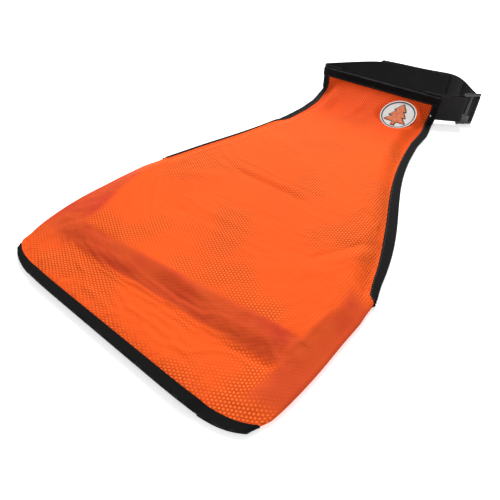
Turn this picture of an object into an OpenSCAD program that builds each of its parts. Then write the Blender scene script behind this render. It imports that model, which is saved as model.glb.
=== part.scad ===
// Chainsaw chaps, apron style: one padded front panel, lying flat, with its waist belt standing on edge.
// +X runs across the panel, +Y from the hem to the belt, +Z up. The origin is the middle of the footprint.

/* [Panel] */
// Length from the hem corners to the fold below the neck, mm
panel_len = 705; // [600:1:800]
// Width across the neck, mm
neck_w = 252; // [200:1:320]
// Width across the hips, where the sides start to roll under, mm
hip_w = 450; // [380:1:520]
// Width at the hem, mm
hem_w = 412; // [360:1:500]
// How far the middle of the hem bows out past the ends of its side edges, mm
hem_bow = 22; // [0:1:40]
// Height of the standing part of the neck, mm
neck_h = 52.5; // [40:0.5:80]

/* [Padding] */
// Thickness of one protective layer, mm
layer_t = 2; // [1:0.1:2.1]
// Top of the padded plateau, mm
plateau_z = 19.1; // [18.9:0.1:30]
// Thickness of the outer mesh fabric, mm
shell_t = 1.2; // [0.8:0.1:1.2]

/* [Belt] */
// Width of the webbing, which stands on edge, mm
web_w = 50; // [40:1:60]
// Thickness of the webbing, mm
web_t = 1.6; // [1:0.1:1.8]
// Height of the slider frame, mm
slider_h = 62; // [60:1:80]
// Distance between the slider's outer bars, mm
slider_span = 24; // [20:0.5:30]

/* [Patch] */
// Diameter of the woven patch, mm
patch_d = 66; // [40:1:70]

/* [Output] */
// Which sub-part to draw

/* [Hidden] */

orange = [0.95, 0.33, 0.10];
black = [0.06, 0.06, 0.065];
aramid = [0.86, 0.80, 0.45];
lining_grey = [0.22, 0.22, 0.23];
white = [0.93, 0.93, 0.91];
steel = [0.75, 0.76, 0.78];

gap = 0.2;
tape_w = 16;
tape_t = 0.95;

// Along the panel
flare_end_y = 600;
flare_curve = 0.085;
hip_y = 200;
band_low_y = 60;
band_high_y = 96;
pad_end_y = 580;
pad_fade_y = 620;
hem_fade_y = 120;
hem_skew = 7;
hem_round = 20;
panel_end_y = panel_len - 7;

// The side edges are rolled under from here down, the left one higher up than the right one
function roll_end_y(side) = side > 0 ? 226 : 335;
function roll_full_y(side) = side > 0 ? 168 : 262;
roll_w = 38;
lip_w = 3.6;
edge_in = 1.9;
lift_ahead = 5;
lift_len = 25;

// Heights of the middle of the shell at its side edges and of the turned edge below it
edge_z_plain = 3.45;
edge_z_rolled = 10.5;
flat_z_hem = 5.4;
turn_z = 1.6;
lining_z_edge = 1.15;
lining_z_pad = 3.3;
lining_t = 0.9;
flat_margin = 16;
slope_w = 24;
side_blend_w = 60;
fat_edge_y = [18, 68];
layer_z0 = 4.6;
layer_pitch = layer_t + gap;
layer_inset = 47;
layer_step = 1.5;

// Belt in plan, hand-chosen along its run
web_z0 = 6;
bar_r = 2;
turn_r = bar_r + 0.3 + web_t / 2;
sew_y = panel_len + 4.6;
far_bar = [180, panel_len + 42];
slider_angle = 38;
strap_angle = 134;
strap_overlap = 4.4;
strip_t = 1;

function lerp(a, b, t) = a + (b - a) * t;
function clamp01(t) = min(max(t, 0), 1);
function ease(t) = let(c = clamp01(t)) c * c * (3 - 2 * c);
function direction(a) = [cos(a), sin(a)];
function reversed(list) = [for (i = [len(list) - 1:-1:0]) list[i]];

// Half the panel's width at a distance y from the hem
function half_w(y) =
  y > flare_end_y ? neck_w / 2 :
  y > hip_y ? let(s = (flare_end_y - y) / (flare_end_y - hip_y))
    lerp(neck_w, hip_w, s - flare_curve * sin(360 * s)) / 2 :
  (hip_w - (hip_w - hem_w) * pow((hip_y - y) / hip_y, 3)) / 2;

// The panel doesn't lie quite straight: its middle line is a little to the right between the hem and the neck
function lie_shift(y) = (3 * ease(y / 30) + 5 * ease((y - 120) / 100)) * ease((panel_end_y - y) / 60);

// How far the hem is bowed, skewed and rounded at a share u of the half width
function hem_shift(u) = -hem_bow - hem_skew * u + hem_round * pow(abs(u), 8);
function bowed_y(u, y) = y + hem_shift(u) * (1 - ease(y / hem_fade_y));

// 1 where the sides are rolled under, 0 where they are plain
function roll(y, side) = ease((roll_end_y(side) - y) / (roll_end_y(side) - roll_full_y(side)));
// The edge swells just before it starts to roll
function lift(y, side) = ease((roll_end_y(side) + lift_ahead + lift_len - y) / lift_len);
function edge_z(y, side) = lerp(edge_z_plain,
  lerp(flat_z_hem, edge_z_rolled, ease((y - fat_edge_y[0]) / (fat_edge_y[1] - fat_edge_y[0]))),
  lift(y, side));
function flat_z(y, side) = lerp(edge_z_plain, flat_z_hem, lift(y, side));

// 1 on the padded plateau, falling to 0 at its edges
function side_rise(d) = ease((d - flat_margin) / slope_w);
function length_rise(y) = ease((y - band_low_y) / (band_high_y - band_low_y))
  * ease((pad_fade_y - y) / (pad_fade_y - pad_end_y));
function shell_z(d, y, side) = lerp(lerp(edge_z(y, side), flat_z(y, side), ease(d / side_blend_w)),
  plateau_z - shell_t / 2, side_rise(d) * length_rise(y));
function lining_z(d, y, side) = lerp(lerp(lining_z_edge, lining_z_pad, lift(y, side)), lining_z_pad,
  side_rise(d) * length_rise(y));

// A closed sheet between two grids of points of the same size, first grid on the outside
function sheet_faces(n, m) =
  let(b = n * m)
  concat(
    [for (j = [0:m - 2]) for (i = [0:n - 2]) let(a = j * n + i)
      each [[a, a + n, a + 1], [a + 1, a + n, a + n + 1]]],
    [for (j = [0:m - 2]) for (i = [0:n - 2]) let(a = b + j * n + i)
      each [[a, a + 1, a + n], [a + 1, a + n + 1, a + n]]],
    [for (i = [0:n - 2]) let(a = i) each [[a, a + 1, a + b], [a + 1, a + b + 1, a + b]]],
    [for (i = [0:n - 2]) let(a = (m - 1) * n + i) each [[a, a + b, a + 1], [a + 1, a + b, a + b + 1]]],
    [for (j = [0:m - 2]) let(a = j * n) each [[a, a + b, a + n], [a + n, a + b, a + n + b]]],
    [for (j = [0:m - 2]) let(a = j * n + n - 1) each [[a, a + n, a + b], [a + n, a + n + b, a + b]]]);

module sheet(top, bottom) {
  rows = len(top);
  cols = len(top[0]);
  polyhedron(
    points = concat([for (row = top) each row], [for (row = bottom) each row]),
    faces = sheet_faces(cols, rows));
}

// A closed bar whose cross-section, a ring of points, is given at each station
module swept(rings) {
  n = len(rings[0]);
  m = len(rings);
  walls = [for (j = [0:m - 2]) for (i = [0:n - 1])
    let(a = j * n + i, b = j * n + (i + 1) % n) each [[a, b, a + n], [b, b + n, a + n]]];
  polyhedron(
    points = [for (ring = rings) each ring],
    faces = concat(walls, [reversed([for (i = [0:n - 1]) i])], [[for (i = [0:n - 1]) (m - 1) * n + i]]));
}

// Left-hand normals along a path in a plane
function path_normals(p) = [for (i = [0:len(p) - 1])
  let(a = p[max(i - 1, 0)], b = p[min(i + 1, len(p) - 1)], d = b - a, l = norm(d)) [-d[1] / l, d[0] / l]];
function beside(p, d) = let(n = path_normals(p)) [for (i = [0:len(p) - 1]) p[i] + d * n[i]];
function arc(centre, r, from, to, steps) =
  [for (i = [0:steps]) centre + r * direction(lerp(from, to, i / steps))];
// A smooth path through hand-chosen points
function smooth_at(a, b, c, d, t) =
  0.5 * (2 * b + (c - a) * t + (2 * a - 5 * b + 4 * c - d) * t * t + (3 * b - a - 3 * c + d) * t * t * t);
function smooth(p, steps) = concat(
  [for (i = [0:len(p) - 2]) for (s = [0:steps - 1])
    smooth_at(p[max(i - 1, 0)], p[i], p[i + 1], p[min(i + 2, len(p) - 1)], s / steps)],
  [p[len(p) - 1]]);

// A ribbon of webbing standing on edge along a path in plan
module ribbon(path, t, z0, h) {
  translate([0, 0, z0])
    linear_extrude(h)
      polygon(concat(beside(path, t / 2), reversed(beside(path, -t / 2))));
}

module placed() {
  translate([-x_mid, -y_mid, 0]) children();
}

// ---- Panel ----

shell_rows = [1.5, 20, 32, 44, 52, 60, 66, 72, 78, 84, 90, 96, 110, 135, 160, 175, 190, 205, 220, 231, 239,
  247, 256, 270, 285, 300, 315, 328, 340, 348, 356, 365, 400, 430, 460, 500, 540, 580, 588, 596, 604, 612,
  620, 650, panel_end_y];
shell_insets = [0, 4, 8, 12, 17, 22, 27, 32, 38, 44];
middle_shares = [-0.6, -0.4, -0.2, 0, 0.2, 0.4, 0.6];

// Middle line of the shell across the panel, from the left turned edge over the top to the right one
function half_section(y, side) =
  let(hw = half_w(y) - edge_in, k = roll(y, side), ze = edge_z(y, side), r = (ze - turn_z) / 2,
    w = max(lerp(lip_w, roll_w, k), r + 1), squeeze = 1 - r / 60)
  concat(
    [[hw - w, turn_z]],
    [for (a = [-90:45:45]) [hw - r + r * cos(a), turn_z + r + r * sin(a)]],
    [for (d = shell_insets) [hw - r - d * squeeze, shell_z(d * squeeze, y, side)]]);
function full_section(y) = concat(
  [for (p = half_section(y, -1)) [-p[0], p[1]]],
  [for (u = middle_shares) [u * half_w(y), shell_z((1 - abs(u)) * half_w(y), y, u < 0 ? -1 : 1)]],
  reversed(half_section(y, 1)));
function section_point(p, y) = [p[0] + lie_shift(y), bowed_y(p[0] / half_w(y), y), p[1]];
function shell_row(y, side) = [for (p = beside(full_section(y), side * shell_t / 2)) section_point(p, y)];

// The footprint's sides are the rolled edges
x_high = max([for (y = shell_rows) half_w(y) + lie_shift(y)]) - edge_in + shell_t / 2;
x_low = edge_in - shell_t / 2 - max([for (y = shell_rows) half_w(y) - lie_shift(y)]);
x_mid = (x_high + x_low) / 2;

module outer_shell() {
  color(orange) placed()
    sheet([for (y = shell_rows) shell_row(y, -1)], [for (y = shell_rows) shell_row(y, 1)]);
}

lining_inset = 6.5;
lining_shares = [0, 0.03, 0.06, 0.1, 0.14, 0.18, 0.24, 0.4, 0.7];
function lining_half(y, side, dz) = let(hw = half_w(y))
  [for (share = lining_shares) let(d = lining_inset + share * (hw - lining_inset))
    [side * (hw - d), lining_z(d, y, side) + dz]];
function lining_row(y, dz) =
  let(middle = [0, lining_z(half_w(y), y, 1) + dz],
    across = concat(lining_half(y, -1, dz), [middle], reversed(lining_half(y, 1, dz))))
  [for (p = across) section_point(p, y)];

module inner_lining() {
  rows = [for (y = shell_rows) max(y, 3)];
  color(lining_grey) placed()
    sheet([for (y = rows) lining_row(y, 0)], [for (y = rows) lining_row(y, lining_t)]);
}

// One flat protective layer; each is a little smaller than the one below it
module protective_layer(i) {
  inset = layer_inset + layer_step * i;
  y0 = band_high_y + 3 + layer_step * i;
  y1 = pad_end_y - 4 - layer_step * i;
  ys = [for (s = [0:16]) lerp(y0, y1, s / 16)];
  left = [for (y = ys) [lie_shift(y) - half_w(y) + inset, y]];
  right = [for (y = ys) [lie_shift(y) + half_w(y) - inset, y]];
  color(aramid) placed()
    translate([0, 0, layer_z0 + i * layer_pitch])
      linear_extrude(layer_t)
        polygon(concat(right, reversed(left)));
}

// Folded tape: a U that opens towards +a, closed at a = 0, between heights z0 and z1
function tape_section(w, t, z0, z1) =
  [[0, z0], [w, z0], [w, z0 + t], [1, z0 + t], [1, z1 - t], [w, z1 - t], [w, z1], [0, z1]];

// Binding of the plain side edge, and of the edge that is rolled under
module side_binding(side) {
  plain = tape_section(tape_w, tape_t, 0, 5.25);
  tucked = tape_section(tape_w - 1, 0.8, 0, 3);
  plain_from = roll_end_y(side) + lift_ahead + lift_len;
  color(black) placed() {
    swept(oriented(side, [for (y = shell_rows) if (y >= plain_from)
      [for (p = plain) [side * (half_w(y) - p[0]) + lie_shift(y), y, p[1]]]]));
    swept(oriented(-side, [for (y = shell_rows) if (y >= shell_rows[1] && y <= roll_full_y(side))
      [for (p = tucked) let(x = side * (half_w(y) - edge_in - roll_w - 1.3 + p[0]))
        [x + lie_shift(y), bowed_y(x / half_w(y), y), p[1]]]]));
  }
}
function oriented(side, rings) = side > 0 ? [for (r = rings) reversed(r)] : rings;

module left_binding() { side_binding(-1); }
module right_binding() { side_binding(1); }

// Plan of the hem between two distances from its outer edge
hem_steps = 20;
function hem_line(d) = [for (i = [-hem_steps:hem_steps])
  let(u = i / hem_steps) [u * hem_w / 2, hem_shift(u) + d]];
hem_low_y = min([for (p = hem_line(0)) p[1]]);
module hem_plate(from, to, z0, z1) {
  translate([0, 0, z0])
    linear_extrude(z1 - z0)
      polygon(concat(hem_line(from), reversed(hem_line(to))));
}

module hem_binding() {
  color(black) placed() {
    hem_plate(0, tape_w, 0, 0.8);
    hem_plate(0, 1, 0.8, 6.2);
    hem_plate(0, tape_w, 6.2, 7);
  }
}

// ---- Patch on the neck ----

patch_pos = [68, 655];
patch_z = edge_z_plain + shell_t / 2 + gap;

module patch_base() {
  color(white) placed()
    translate([patch_pos[0], patch_pos[1], patch_z])
      cylinder(h = 1.2, d = patch_d - 5, $fn = 64);
}
module patch_rim() {
  color(white) placed()
    translate([patch_pos[0], patch_pos[1], patch_z])
      rotate_extrude($fn = 64)
        translate([patch_d / 2 - 1.2, 1.2])
          circle(r = 1.2, $fn = 16);
}
// A plain conifer: three tiers and a trunk
module patch_emblem() {
  tiers = [[0, 21], [9, 10], [4.5, 10], [12, -1], [5.5, -1], [15.5, -13], [2.8, -13], [2.8, -20]];
  color(orange) placed()
    translate([patch_pos[0], patch_pos[1], patch_z + 1.2 + 0.05])
      linear_extrude(0.8)
        polygon(concat(tiers, reversed([for (i = [1:len(tiers) - 1]) [-tiers[i][0], tiers[i][1]]])));
}

// ---- Standing neck ----

neck_z0 = 7.5;
neck_y = panel_len - 1.6;
rivet_pos = [114, 15];

// A hole through the neck's plies for the rivet
module rivet_hole() {
  translate([rivet_pos[0], panel_len - 10, rivet_pos[1]])
    rotate([-90, 0, 0])
      cylinder(h = 30, r = 1.5, $fn = 24);
}
module neck_ply(y0, t, margin) {
  difference() {
    translate([-neck_w / 2 + margin, y0, neck_z0])
      cube([neck_w - 2 * margin, t, neck_h - neck_z0 - 1.5]);
    rivet_hole();
  }
}
module neck_shell() {
  color(orange) placed() neck_ply(neck_y, shell_t, 1.5);
}
module neck_lining() {
  color(lining_grey) placed() neck_ply(neck_y + 2.2, lining_t, 1.5);
}

// U-shaped tape round an edge; the plies are in its 3.5 mm slot
tape_front = neck_y - 0.2 - tape_t;
tape_depth = 3.5 + 2 * tape_t;
module top_binding() {
  color(black) placed()
    difference() {
      translate([-neck_w / 2, tape_front, neck_h - tape_w])
        cube([neck_w, tape_depth, tape_w]);
      translate([-neck_w / 2 - 1, tape_front + tape_t, neck_h - tape_w - 1])
        cube([neck_w + 2, tape_depth - 2 * tape_t, tape_w]);
    }
}
module neck_side_binding(side) {
  h = neck_h - tape_w - gap - neck_z0;
  difference() {
    translate([side > 0 ? neck_w / 2 - tape_w : -neck_w / 2, tape_front, neck_z0])
      cube([tape_w, tape_depth, h]);
    translate([side > 0 ? neck_w / 2 - tape_w - 1 : -neck_w / 2 + 1, tape_front + tape_t, neck_z0 - 1])
      cube([tape_w, tape_depth - 2 * tape_t, h + 2]);
    rivet_hole();
  }
}
module neck_left_binding() {
  color(black) placed() neck_side_binding(-1);
}
module neck_right_binding() {
  color(black) placed() neck_side_binding(1);
}

// ---- Belt ----

// Right strap, free end first; the left strap runs just inside it
back_points = [[-46, 806], [0, 811], [40, 814], [78, 815], [104, 809], [130, 796], [154, 777]];
far_start = far_bar + turn_r * direction(strap_angle - 90);
near_bar = far_bar - slider_span * direction(slider_angle);
back_path = smooth([for (p = back_points) p + [0, panel_len - 705]], 6);
belt_back_y = max([for (p = beside(back_path, web_t / 2)) p[1]]);
y_mid = (belt_back_y + hem_low_y) / 2;
stub_len = 26;

right_path = concat(
  back_path,
  [far_start + 14 * direction(strap_angle), far_start + 4 * direction(strap_angle)],
  arc(far_bar, turn_r, strap_angle - 90, strap_angle - 270, 12),
  [far_bar + turn_r * direction(strap_angle + 90) + stub_len / 2 * direction(strap_angle),
   far_bar + turn_r * direction(strap_angle + 90) + stub_len * direction(strap_angle)]);

module right_strap() {
  color(black) placed() ribbon(right_path, web_t, web_z0, web_w);
}

// Loop pile on the inner face of the right strap, hook tape on the outer face of the left strap
inner_side = web_t / 2 + strip_t / 2;
loop_from = 4;
loop_to = 32;
module loop_strip() {
  path = [for (i = [loop_from:loop_to]) beside(back_path, -inner_side - 0.02)[i]];
  color(lining_grey) placed() ribbon(path, strip_t, web_z0 + 2, web_w - 4);
}

left_end = 25;
under_right = beside(back_path, -strap_overlap);
left_points = [[-106, 738], [-66, 779], [-38, 797]];
left_path = concat(
  [[-92, sew_y], [-108, sew_y], [-121, sew_y]],
  arc([-121, sew_y + 4], 4, -105, -215, 8),
  smooth(concat([for (p = left_points) p + [0, panel_len - 705]], [under_right[7], under_right[9]]), 5),
  [for (i = [10:left_end]) under_right[i]]);

module left_strap() {
  color(black) placed() ribbon(left_path, web_t, web_z0, web_w);
}
module hook_strip() {
  path = [for (i = [11:left_end - 1]) beside(under_right, inner_side + 0.02)[i]];
  color(lining_grey) placed() ribbon(path, strip_t, web_z0 + 3, web_w - 6);
}

// Two-ply tab from the neck's right corner round the slider's near bar
tab_angle = 28;
tab_start = [90, sew_y];
tab_path = concat(
  [tab_start, [106, sew_y], [120.5, sew_y]],
  arc(near_bar, turn_r, tab_angle - 90, tab_angle + 90, 12),
  [[117.5, sew_y + 2], [106, sew_y + 2], [92, sew_y + 2]]);
module right_tab() {
  color(black) placed()
    difference() {
      ribbon(tab_path, web_t, web_z0, web_w);
      rivet_hole();
    }
}

// Dense rows of thread across the webbing
module bartacks(xs, y) {
  for (x = xs)
    translate([x, y, web_z0 + 5])
      cube([2.5, 0.6, web_w - 10]);
}
module left_bartacks() {
  color(black) placed() bartacks([-98, -110], sew_y + web_t / 2 + 0.05);
}
module right_bartacks() {
  color(black) placed() bartacks([94, 104], sew_y + 2 + web_t / 2 + 0.05);
}
module fold_bartacks() {
  across = far_bar + (turn_r + web_t / 2 + 0.05) * direction(strap_angle + 90);
  color(black) placed()
    for (s = [12, 21])
      translate([across[0] + s * cos(strap_angle), across[1] + s * sin(strap_angle), web_z0 + 5])
        rotate(strap_angle)
          cube([2.5, 0.6, web_w - 10]);
}

module tab_rivet() {
  color(steel) placed()
    translate([rivet_pos[0], tape_front - 0.05, rivet_pos[1]])
      rotate([-90, 0, 0]) {
        translate([0, 0, -1.4])
          cylinder(h = 1.4, r1 = 2.6, r2 = 3.6, $fn = 32);
        translate([0, 0, -0.2])
          cylinder(h = 12, r = 1.35, $fn = 24);
        translate([0, 0, sew_y + 2 + web_t / 2 + 0.5 - tape_front])
          cylinder(h = 1.2, r1 = 3.4, r2 = 2.6, $fn = 32);
      }
}

// Moulded slider: two rails and three upright bars
module slider() {
  rail_h = 5.5;
  rail_t = 4.4;
  color(black) placed()
    translate([near_bar[0], near_bar[1], 0])
      rotate(slider_angle) {
        for (z = [0, slider_h - rail_h])
          translate([-3.2, -rail_t / 2, z])
            cube([slider_span + 6.4, rail_t, rail_h]);
        for (x = [0, slider_span / 2, slider_span])
          translate([x, 0, 0.5])
            cylinder(h = slider_h - 1, r = bar_r, $fn = 32);
      }
}

outer_shell();
inner_lining();
protective_layer(0);  // protective_layer_1
protective_layer(1);  // protective_layer_2
protective_layer(2);  // protective_layer_3
protective_layer(3);  // protective_layer_4
protective_layer(4);  // protective_layer_5
protective_layer(5);  // protective_layer_6
left_binding();
right_binding();
hem_binding();
patch_base();
patch_rim();
patch_emblem();
neck_shell();
neck_lining();
top_binding();
neck_left_binding();
neck_right_binding();
left_strap();
left_bartacks();
hook_strip();
right_tab();
right_bartacks();
tab_rivet();
slider();
right_strap();
loop_strip();
fold_bartacks();
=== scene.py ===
"""Chainsaw chaps, apron style: padded mesh panel, tapes, belt, slider and patch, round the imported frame.

Shapes are worked out in millimetres in the drawing's own axes (X across, Y up from the hem's corners, Z up)
and brought into the row frame by to_frame().
"""
import math

import bmesh
import bpy
import numpy as np
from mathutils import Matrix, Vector


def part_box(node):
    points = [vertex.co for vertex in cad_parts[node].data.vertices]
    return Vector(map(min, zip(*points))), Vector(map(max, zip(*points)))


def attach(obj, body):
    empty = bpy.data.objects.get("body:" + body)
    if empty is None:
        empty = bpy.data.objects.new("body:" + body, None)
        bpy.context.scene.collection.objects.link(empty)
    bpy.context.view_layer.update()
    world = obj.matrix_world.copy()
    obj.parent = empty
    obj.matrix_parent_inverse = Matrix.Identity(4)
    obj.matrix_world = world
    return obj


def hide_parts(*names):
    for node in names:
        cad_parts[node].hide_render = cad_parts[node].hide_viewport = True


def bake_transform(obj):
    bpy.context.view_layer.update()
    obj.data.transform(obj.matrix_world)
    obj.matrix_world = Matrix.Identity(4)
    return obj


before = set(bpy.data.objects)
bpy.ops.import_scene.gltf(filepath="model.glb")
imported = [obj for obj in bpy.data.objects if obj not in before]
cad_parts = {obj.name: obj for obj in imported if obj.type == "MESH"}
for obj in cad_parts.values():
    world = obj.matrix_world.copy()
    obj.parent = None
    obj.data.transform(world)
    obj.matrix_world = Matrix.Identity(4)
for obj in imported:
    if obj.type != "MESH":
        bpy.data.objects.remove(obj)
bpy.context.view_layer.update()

MM = 0.001

# ---- Driving sizes, the CAD's own ----
HEM_BOW = 22.0
HEM_SKEW = 7.0
HEM_ROUND = 20.0
PANEL_LEN = 705.0
PANEL_END_Y = 698.0
NECK_W = 252.0
HIP_W = 450.0
HEM_W = 412.0
HIP_Y = 200.0
FLARE_END_Y = 600.0
FLARE_CURVE = 0.085
NECK_TOP = 52.5
NECK_START_Y = 560.0
TAPE_W = 16.5
PATCH_AT = (68.0, 655.0)
patch_low, patch_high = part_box("patch_base")
ORIGIN = [(patch_low[k] + patch_high[k]) / 2 / MM - PATCH_AT[k] for k in (0, 1)] + [0.0]

PANEL, NECK, SLIDER, STRAP = "panel", "neck", "slider_frame", "outer_strap"


def to_frame(points):
    """Drawing millimetres to row-frame metres."""
    return (np.asarray(points, float) + ORIGIN) * MM


def ease(t):
    t = np.clip(t, 0.0, 1.0)
    return t * t * (3 - 2 * t)


def lerp(a, b, t):
    return a + (b - a) * t


# ---- Meshes ----
def make_mesh(name, points, faces, uvs=None, smooth=True):
    """A mesh object from drawing points; uvs is one (u, v) per point, in metres."""
    mesh = bpy.data.meshes.new(name)
    mesh.from_pydata(to_frame(points).tolist(), [], [list(map(int, f)) for f in faces])
    if uvs is not None:
        layer = mesh.uv_layers.new(name="UVMap")
        loops = np.empty(len(mesh.loops), dtype=np.int32)
        mesh.loops.foreach_get("vertex_index", loops)
        layer.data.foreach_set("uv", np.asarray(uvs, float)[loops].astype(np.float32).ravel())
    mesh.polygons.foreach_set("use_smooth", [smooth] * len(mesh.polygons))
    mesh.update()
    obj = bpy.data.objects.new(name, mesh)
    bpy.context.collection.objects.link(obj)
    return obj


def grid_faces(rows, cols, flip=False, wrap=False):
    faces = []
    for j in range(rows - 1):
        for i in range(cols if wrap else cols - 1):
            k = (i + 1) % cols
            quad = (j * cols + i, j * cols + k, (j + 1) * cols + k, (j + 1) * cols + i)
            faces.append(quad[::-1] if flip else quad)
    return faces


def fix_normals(obj, merge=False):
    """Turns every face outwards; merge first joins points that lie on each other."""
    bm = bmesh.new()
    bm.from_mesh(obj.data)
    if merge:
        bmesh.ops.remove_doubles(bm, verts=bm.verts, dist=1e-6)
    bmesh.ops.recalc_face_normals(bm, faces=bm.faces)
    bm.to_mesh(obj.data)
    bm.free()


def skin(name, rings, material, uvs=None, closed=False):
    """A tube through rings of points, its ends capped or joined to each other."""
    rings = np.asarray(rings)
    count, size = rings.shape[:2]
    faces = grid_faces(count, size, wrap=True)
    last = (count - 1) * size
    if closed:
        faces += [(last + q, last + (q + 1) % size, (q + 1) % size, q) for q in range(size)]
    else:
        faces += [tuple(range(size))[::-1], tuple(range(last, last + size))]
    points = rings.reshape(-1, 3)
    obj = make_mesh(name, points, faces, points[:, :2] * MM if uvs is None else uvs)
    obj.data.materials.append(material)
    fix_normals(obj)
    return obj


def path_steps(points):
    """Distance along a path of points, from its start."""
    return np.r_[0, np.cumsum(np.linalg.norm(np.diff(points, axis=0), axis=1))]


def turns(count):
    """Angles of points spread round a circle."""
    return [2 * math.pi * k / count for k in range(count)]


def add_value(obj, name, values):
    """A value per point that a material can read."""
    attribute = obj.data.attributes.new(name, "FLOAT", "POINT")
    attribute.data.foreach_set("value", np.asarray(values, np.float32))


def bake_modifiers(obj):
    """Applies every modifier to the object's mesh."""
    graph = bpy.context.evaluated_depsgraph_get()
    mesh = bpy.data.meshes.new_from_object(obj.evaluated_get(graph), preserve_all_data_layers=True,
                                           depsgraph=graph)
    obj.modifiers.clear()
    obj.data = mesh
    return obj


def subdivide(obj, levels=1):
    modifier = obj.modifiers.new("Subdivision", "SUBSURF")
    modifier.levels = modifier.render_levels = levels
    return modifier


def thicken(obj, thickness, offset=-1.0):
    modifier = obj.modifiers.new("Solidify", "SOLIDIFY")
    modifier.thickness = thickness * MM
    modifier.offset = offset
    modifier.use_even_offset = False
    return modifier


# ---- Materials ----
class Nodes:
    """A small helper for building a node material."""

    def __init__(self, name, **inputs):
        self.material = bpy.data.materials.new(name)
        self.material.use_nodes = True
        self.tree = self.material.node_tree
        self.shader = self.tree.nodes["Principled BSDF"]
        for key, value in inputs.items():
            self.shader.inputs[key.replace("_", " ")].default_value = value

    def add(self, kind, **settings):
        node = self.tree.nodes.new(kind)
        for key, value in settings.items():
            setattr(node, key, value)
        return node

    def link(self, a, b):
        self.tree.links.new(a, b)

    def feed(self, socket, value):
        if isinstance(value, bpy.types.NodeSocket):
            self.link(value, socket)
        else:
            socket.default_value = value

    def math(self, operation, a, b=0.0, c=0.0, clamp=False):
        node = self.add("ShaderNodeMath", operation=operation, use_clamp=clamp)
        for socket, value in zip(node.inputs, (a, b, c)):
            self.feed(socket, value)
        return node.outputs[0]

    def vector(self, operation, a, b=(0, 0, 0)):
        node = self.add("ShaderNodeVectorMath", operation=operation)
        self.feed(node.inputs[0], a)
        if operation not in ("FRACTION", "LENGTH", "NORMALIZE"):
            self.feed(node.inputs[1], b)
        return node.outputs["Value"] if operation in ("LENGTH", "DOT_PRODUCT") else node.outputs[0]

    def noise(self, where, scale, detail=2.0, roughness=0.5):
        node = self.add("ShaderNodeTexNoise")
        self.link(where, node.inputs["Vector"])
        node.inputs["Scale"].default_value = scale
        node.inputs["Detail"].default_value = detail
        node.inputs["Roughness"].default_value = roughness
        return node.outputs["Fac"]

    def ramp(self, value, *stops):
        node = self.add("ShaderNodeValToRGB")
        while len(node.color_ramp.elements) < len(stops):
            node.color_ramp.elements.new(0.5)
        for element, (place, colour) in zip(node.color_ramp.elements, stops):
            element.position = place
            element.color = (*colour, 1) if hasattr(colour, "__len__") else (colour,) * 3 + (1,)
        self.feed(node.inputs["Fac"], value)
        return node.outputs["Color"]

    def range(self, value, low, high, to_low=0.0, to_high=1.0):
        node = self.add("ShaderNodeMapRange", interpolation_type="SMOOTHSTEP")
        for socket, v in zip(node.inputs, (value, low, high, to_low, to_high)):
            self.feed(socket, v)
        return node.outputs[0]

    def mix(self, factor, a, b, blend="MIX"):
        node = self.add("ShaderNodeMix", data_type="RGBA", blend_type=blend)
        self.feed(node.inputs["Factor"], factor)
        colour_in = [s for s in node.inputs if s.type == "RGBA"]
        for socket, value in zip(colour_in, (a, b)):
            self.feed(socket, value if isinstance(value, bpy.types.NodeSocket) else (*value, 1))
        return [s for s in node.outputs if s.type == "RGBA"][0]

    def bump(self, height, distance, strength=1.0, normal=None):
        node = self.add("ShaderNodeBump")
        node.inputs["Strength"].default_value = strength
        node.inputs["Distance"].default_value = distance
        self.link(height, node.inputs["Height"])
        if normal is not None:
            self.link(normal, node.inputs["Normal"])
        return node.outputs[0]

    def uv(self):
        return self.add("ShaderNodeTexCoord").outputs["UV"]

    def split(self, where):
        node = self.add("ShaderNodeSeparateXYZ")
        self.link(where, node.inputs[0])
        return node.outputs

    def waves(self, value, pitch):
        return self.math("SINE", self.math("MULTIPLY", value, 2 * math.pi / pitch))

    def blend_of(self, a, share_a, b, share_b):
        return self.math("ADD", self.math("MULTIPLY", a, share_a), self.math("MULTIPLY", b, share_b))

    def colour(self, value):
        self.link(value, self.shader.inputs["Base Color"])

    def roughness(self, value, low, high, smooth, rough):
        self.link(self.range(value, low, high, smooth, rough), self.shader.inputs["Roughness"])

    def relief(self, value):
        self.link(value, self.shader.inputs["Normal"])

    def worn(self, base, scale, low, share, shade, detail=3.0):
        """The base colour, rubbed to another shade in spots along the piece's edges."""
        spots = self.range(self.noise(self.uv(), scale, detail), low, 0.7)
        rubbed = self.math("MULTIPLY", self.value("edge"), spots)
        return self.mix(self.math("MULTIPLY", rubbed, share), base, shade)

    def place(self):
        return self.add("ShaderNodeTexCoord").outputs["Object"]

    def value(self, name):
        return self.add("ShaderNodeAttribute", attribute_name=name).outputs["Fac"]


def hex_distance(n, where, pitch):
    """Distance to the nearest point of a hexagonal lattice with that pitch, rows along V."""
    cell = (pitch * math.sqrt(3), pitch, 1.0)
    found = []
    for shift in ((0, 0, 0), (cell[0] / 2, cell[1] / 2, 0)):
        moved = n.vector("ADD", where, shift)
        share = n.vector("FRACTION", n.vector("DIVIDE", moved, cell))
        offset = n.vector("MULTIPLY", n.vector("SUBTRACT", share, (0.5, 0.5, 0)), (cell[0], cell[1], 0))
        found.append(n.vector("LENGTH", offset))
    return n.math("MINIMUM", *found)


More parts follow.
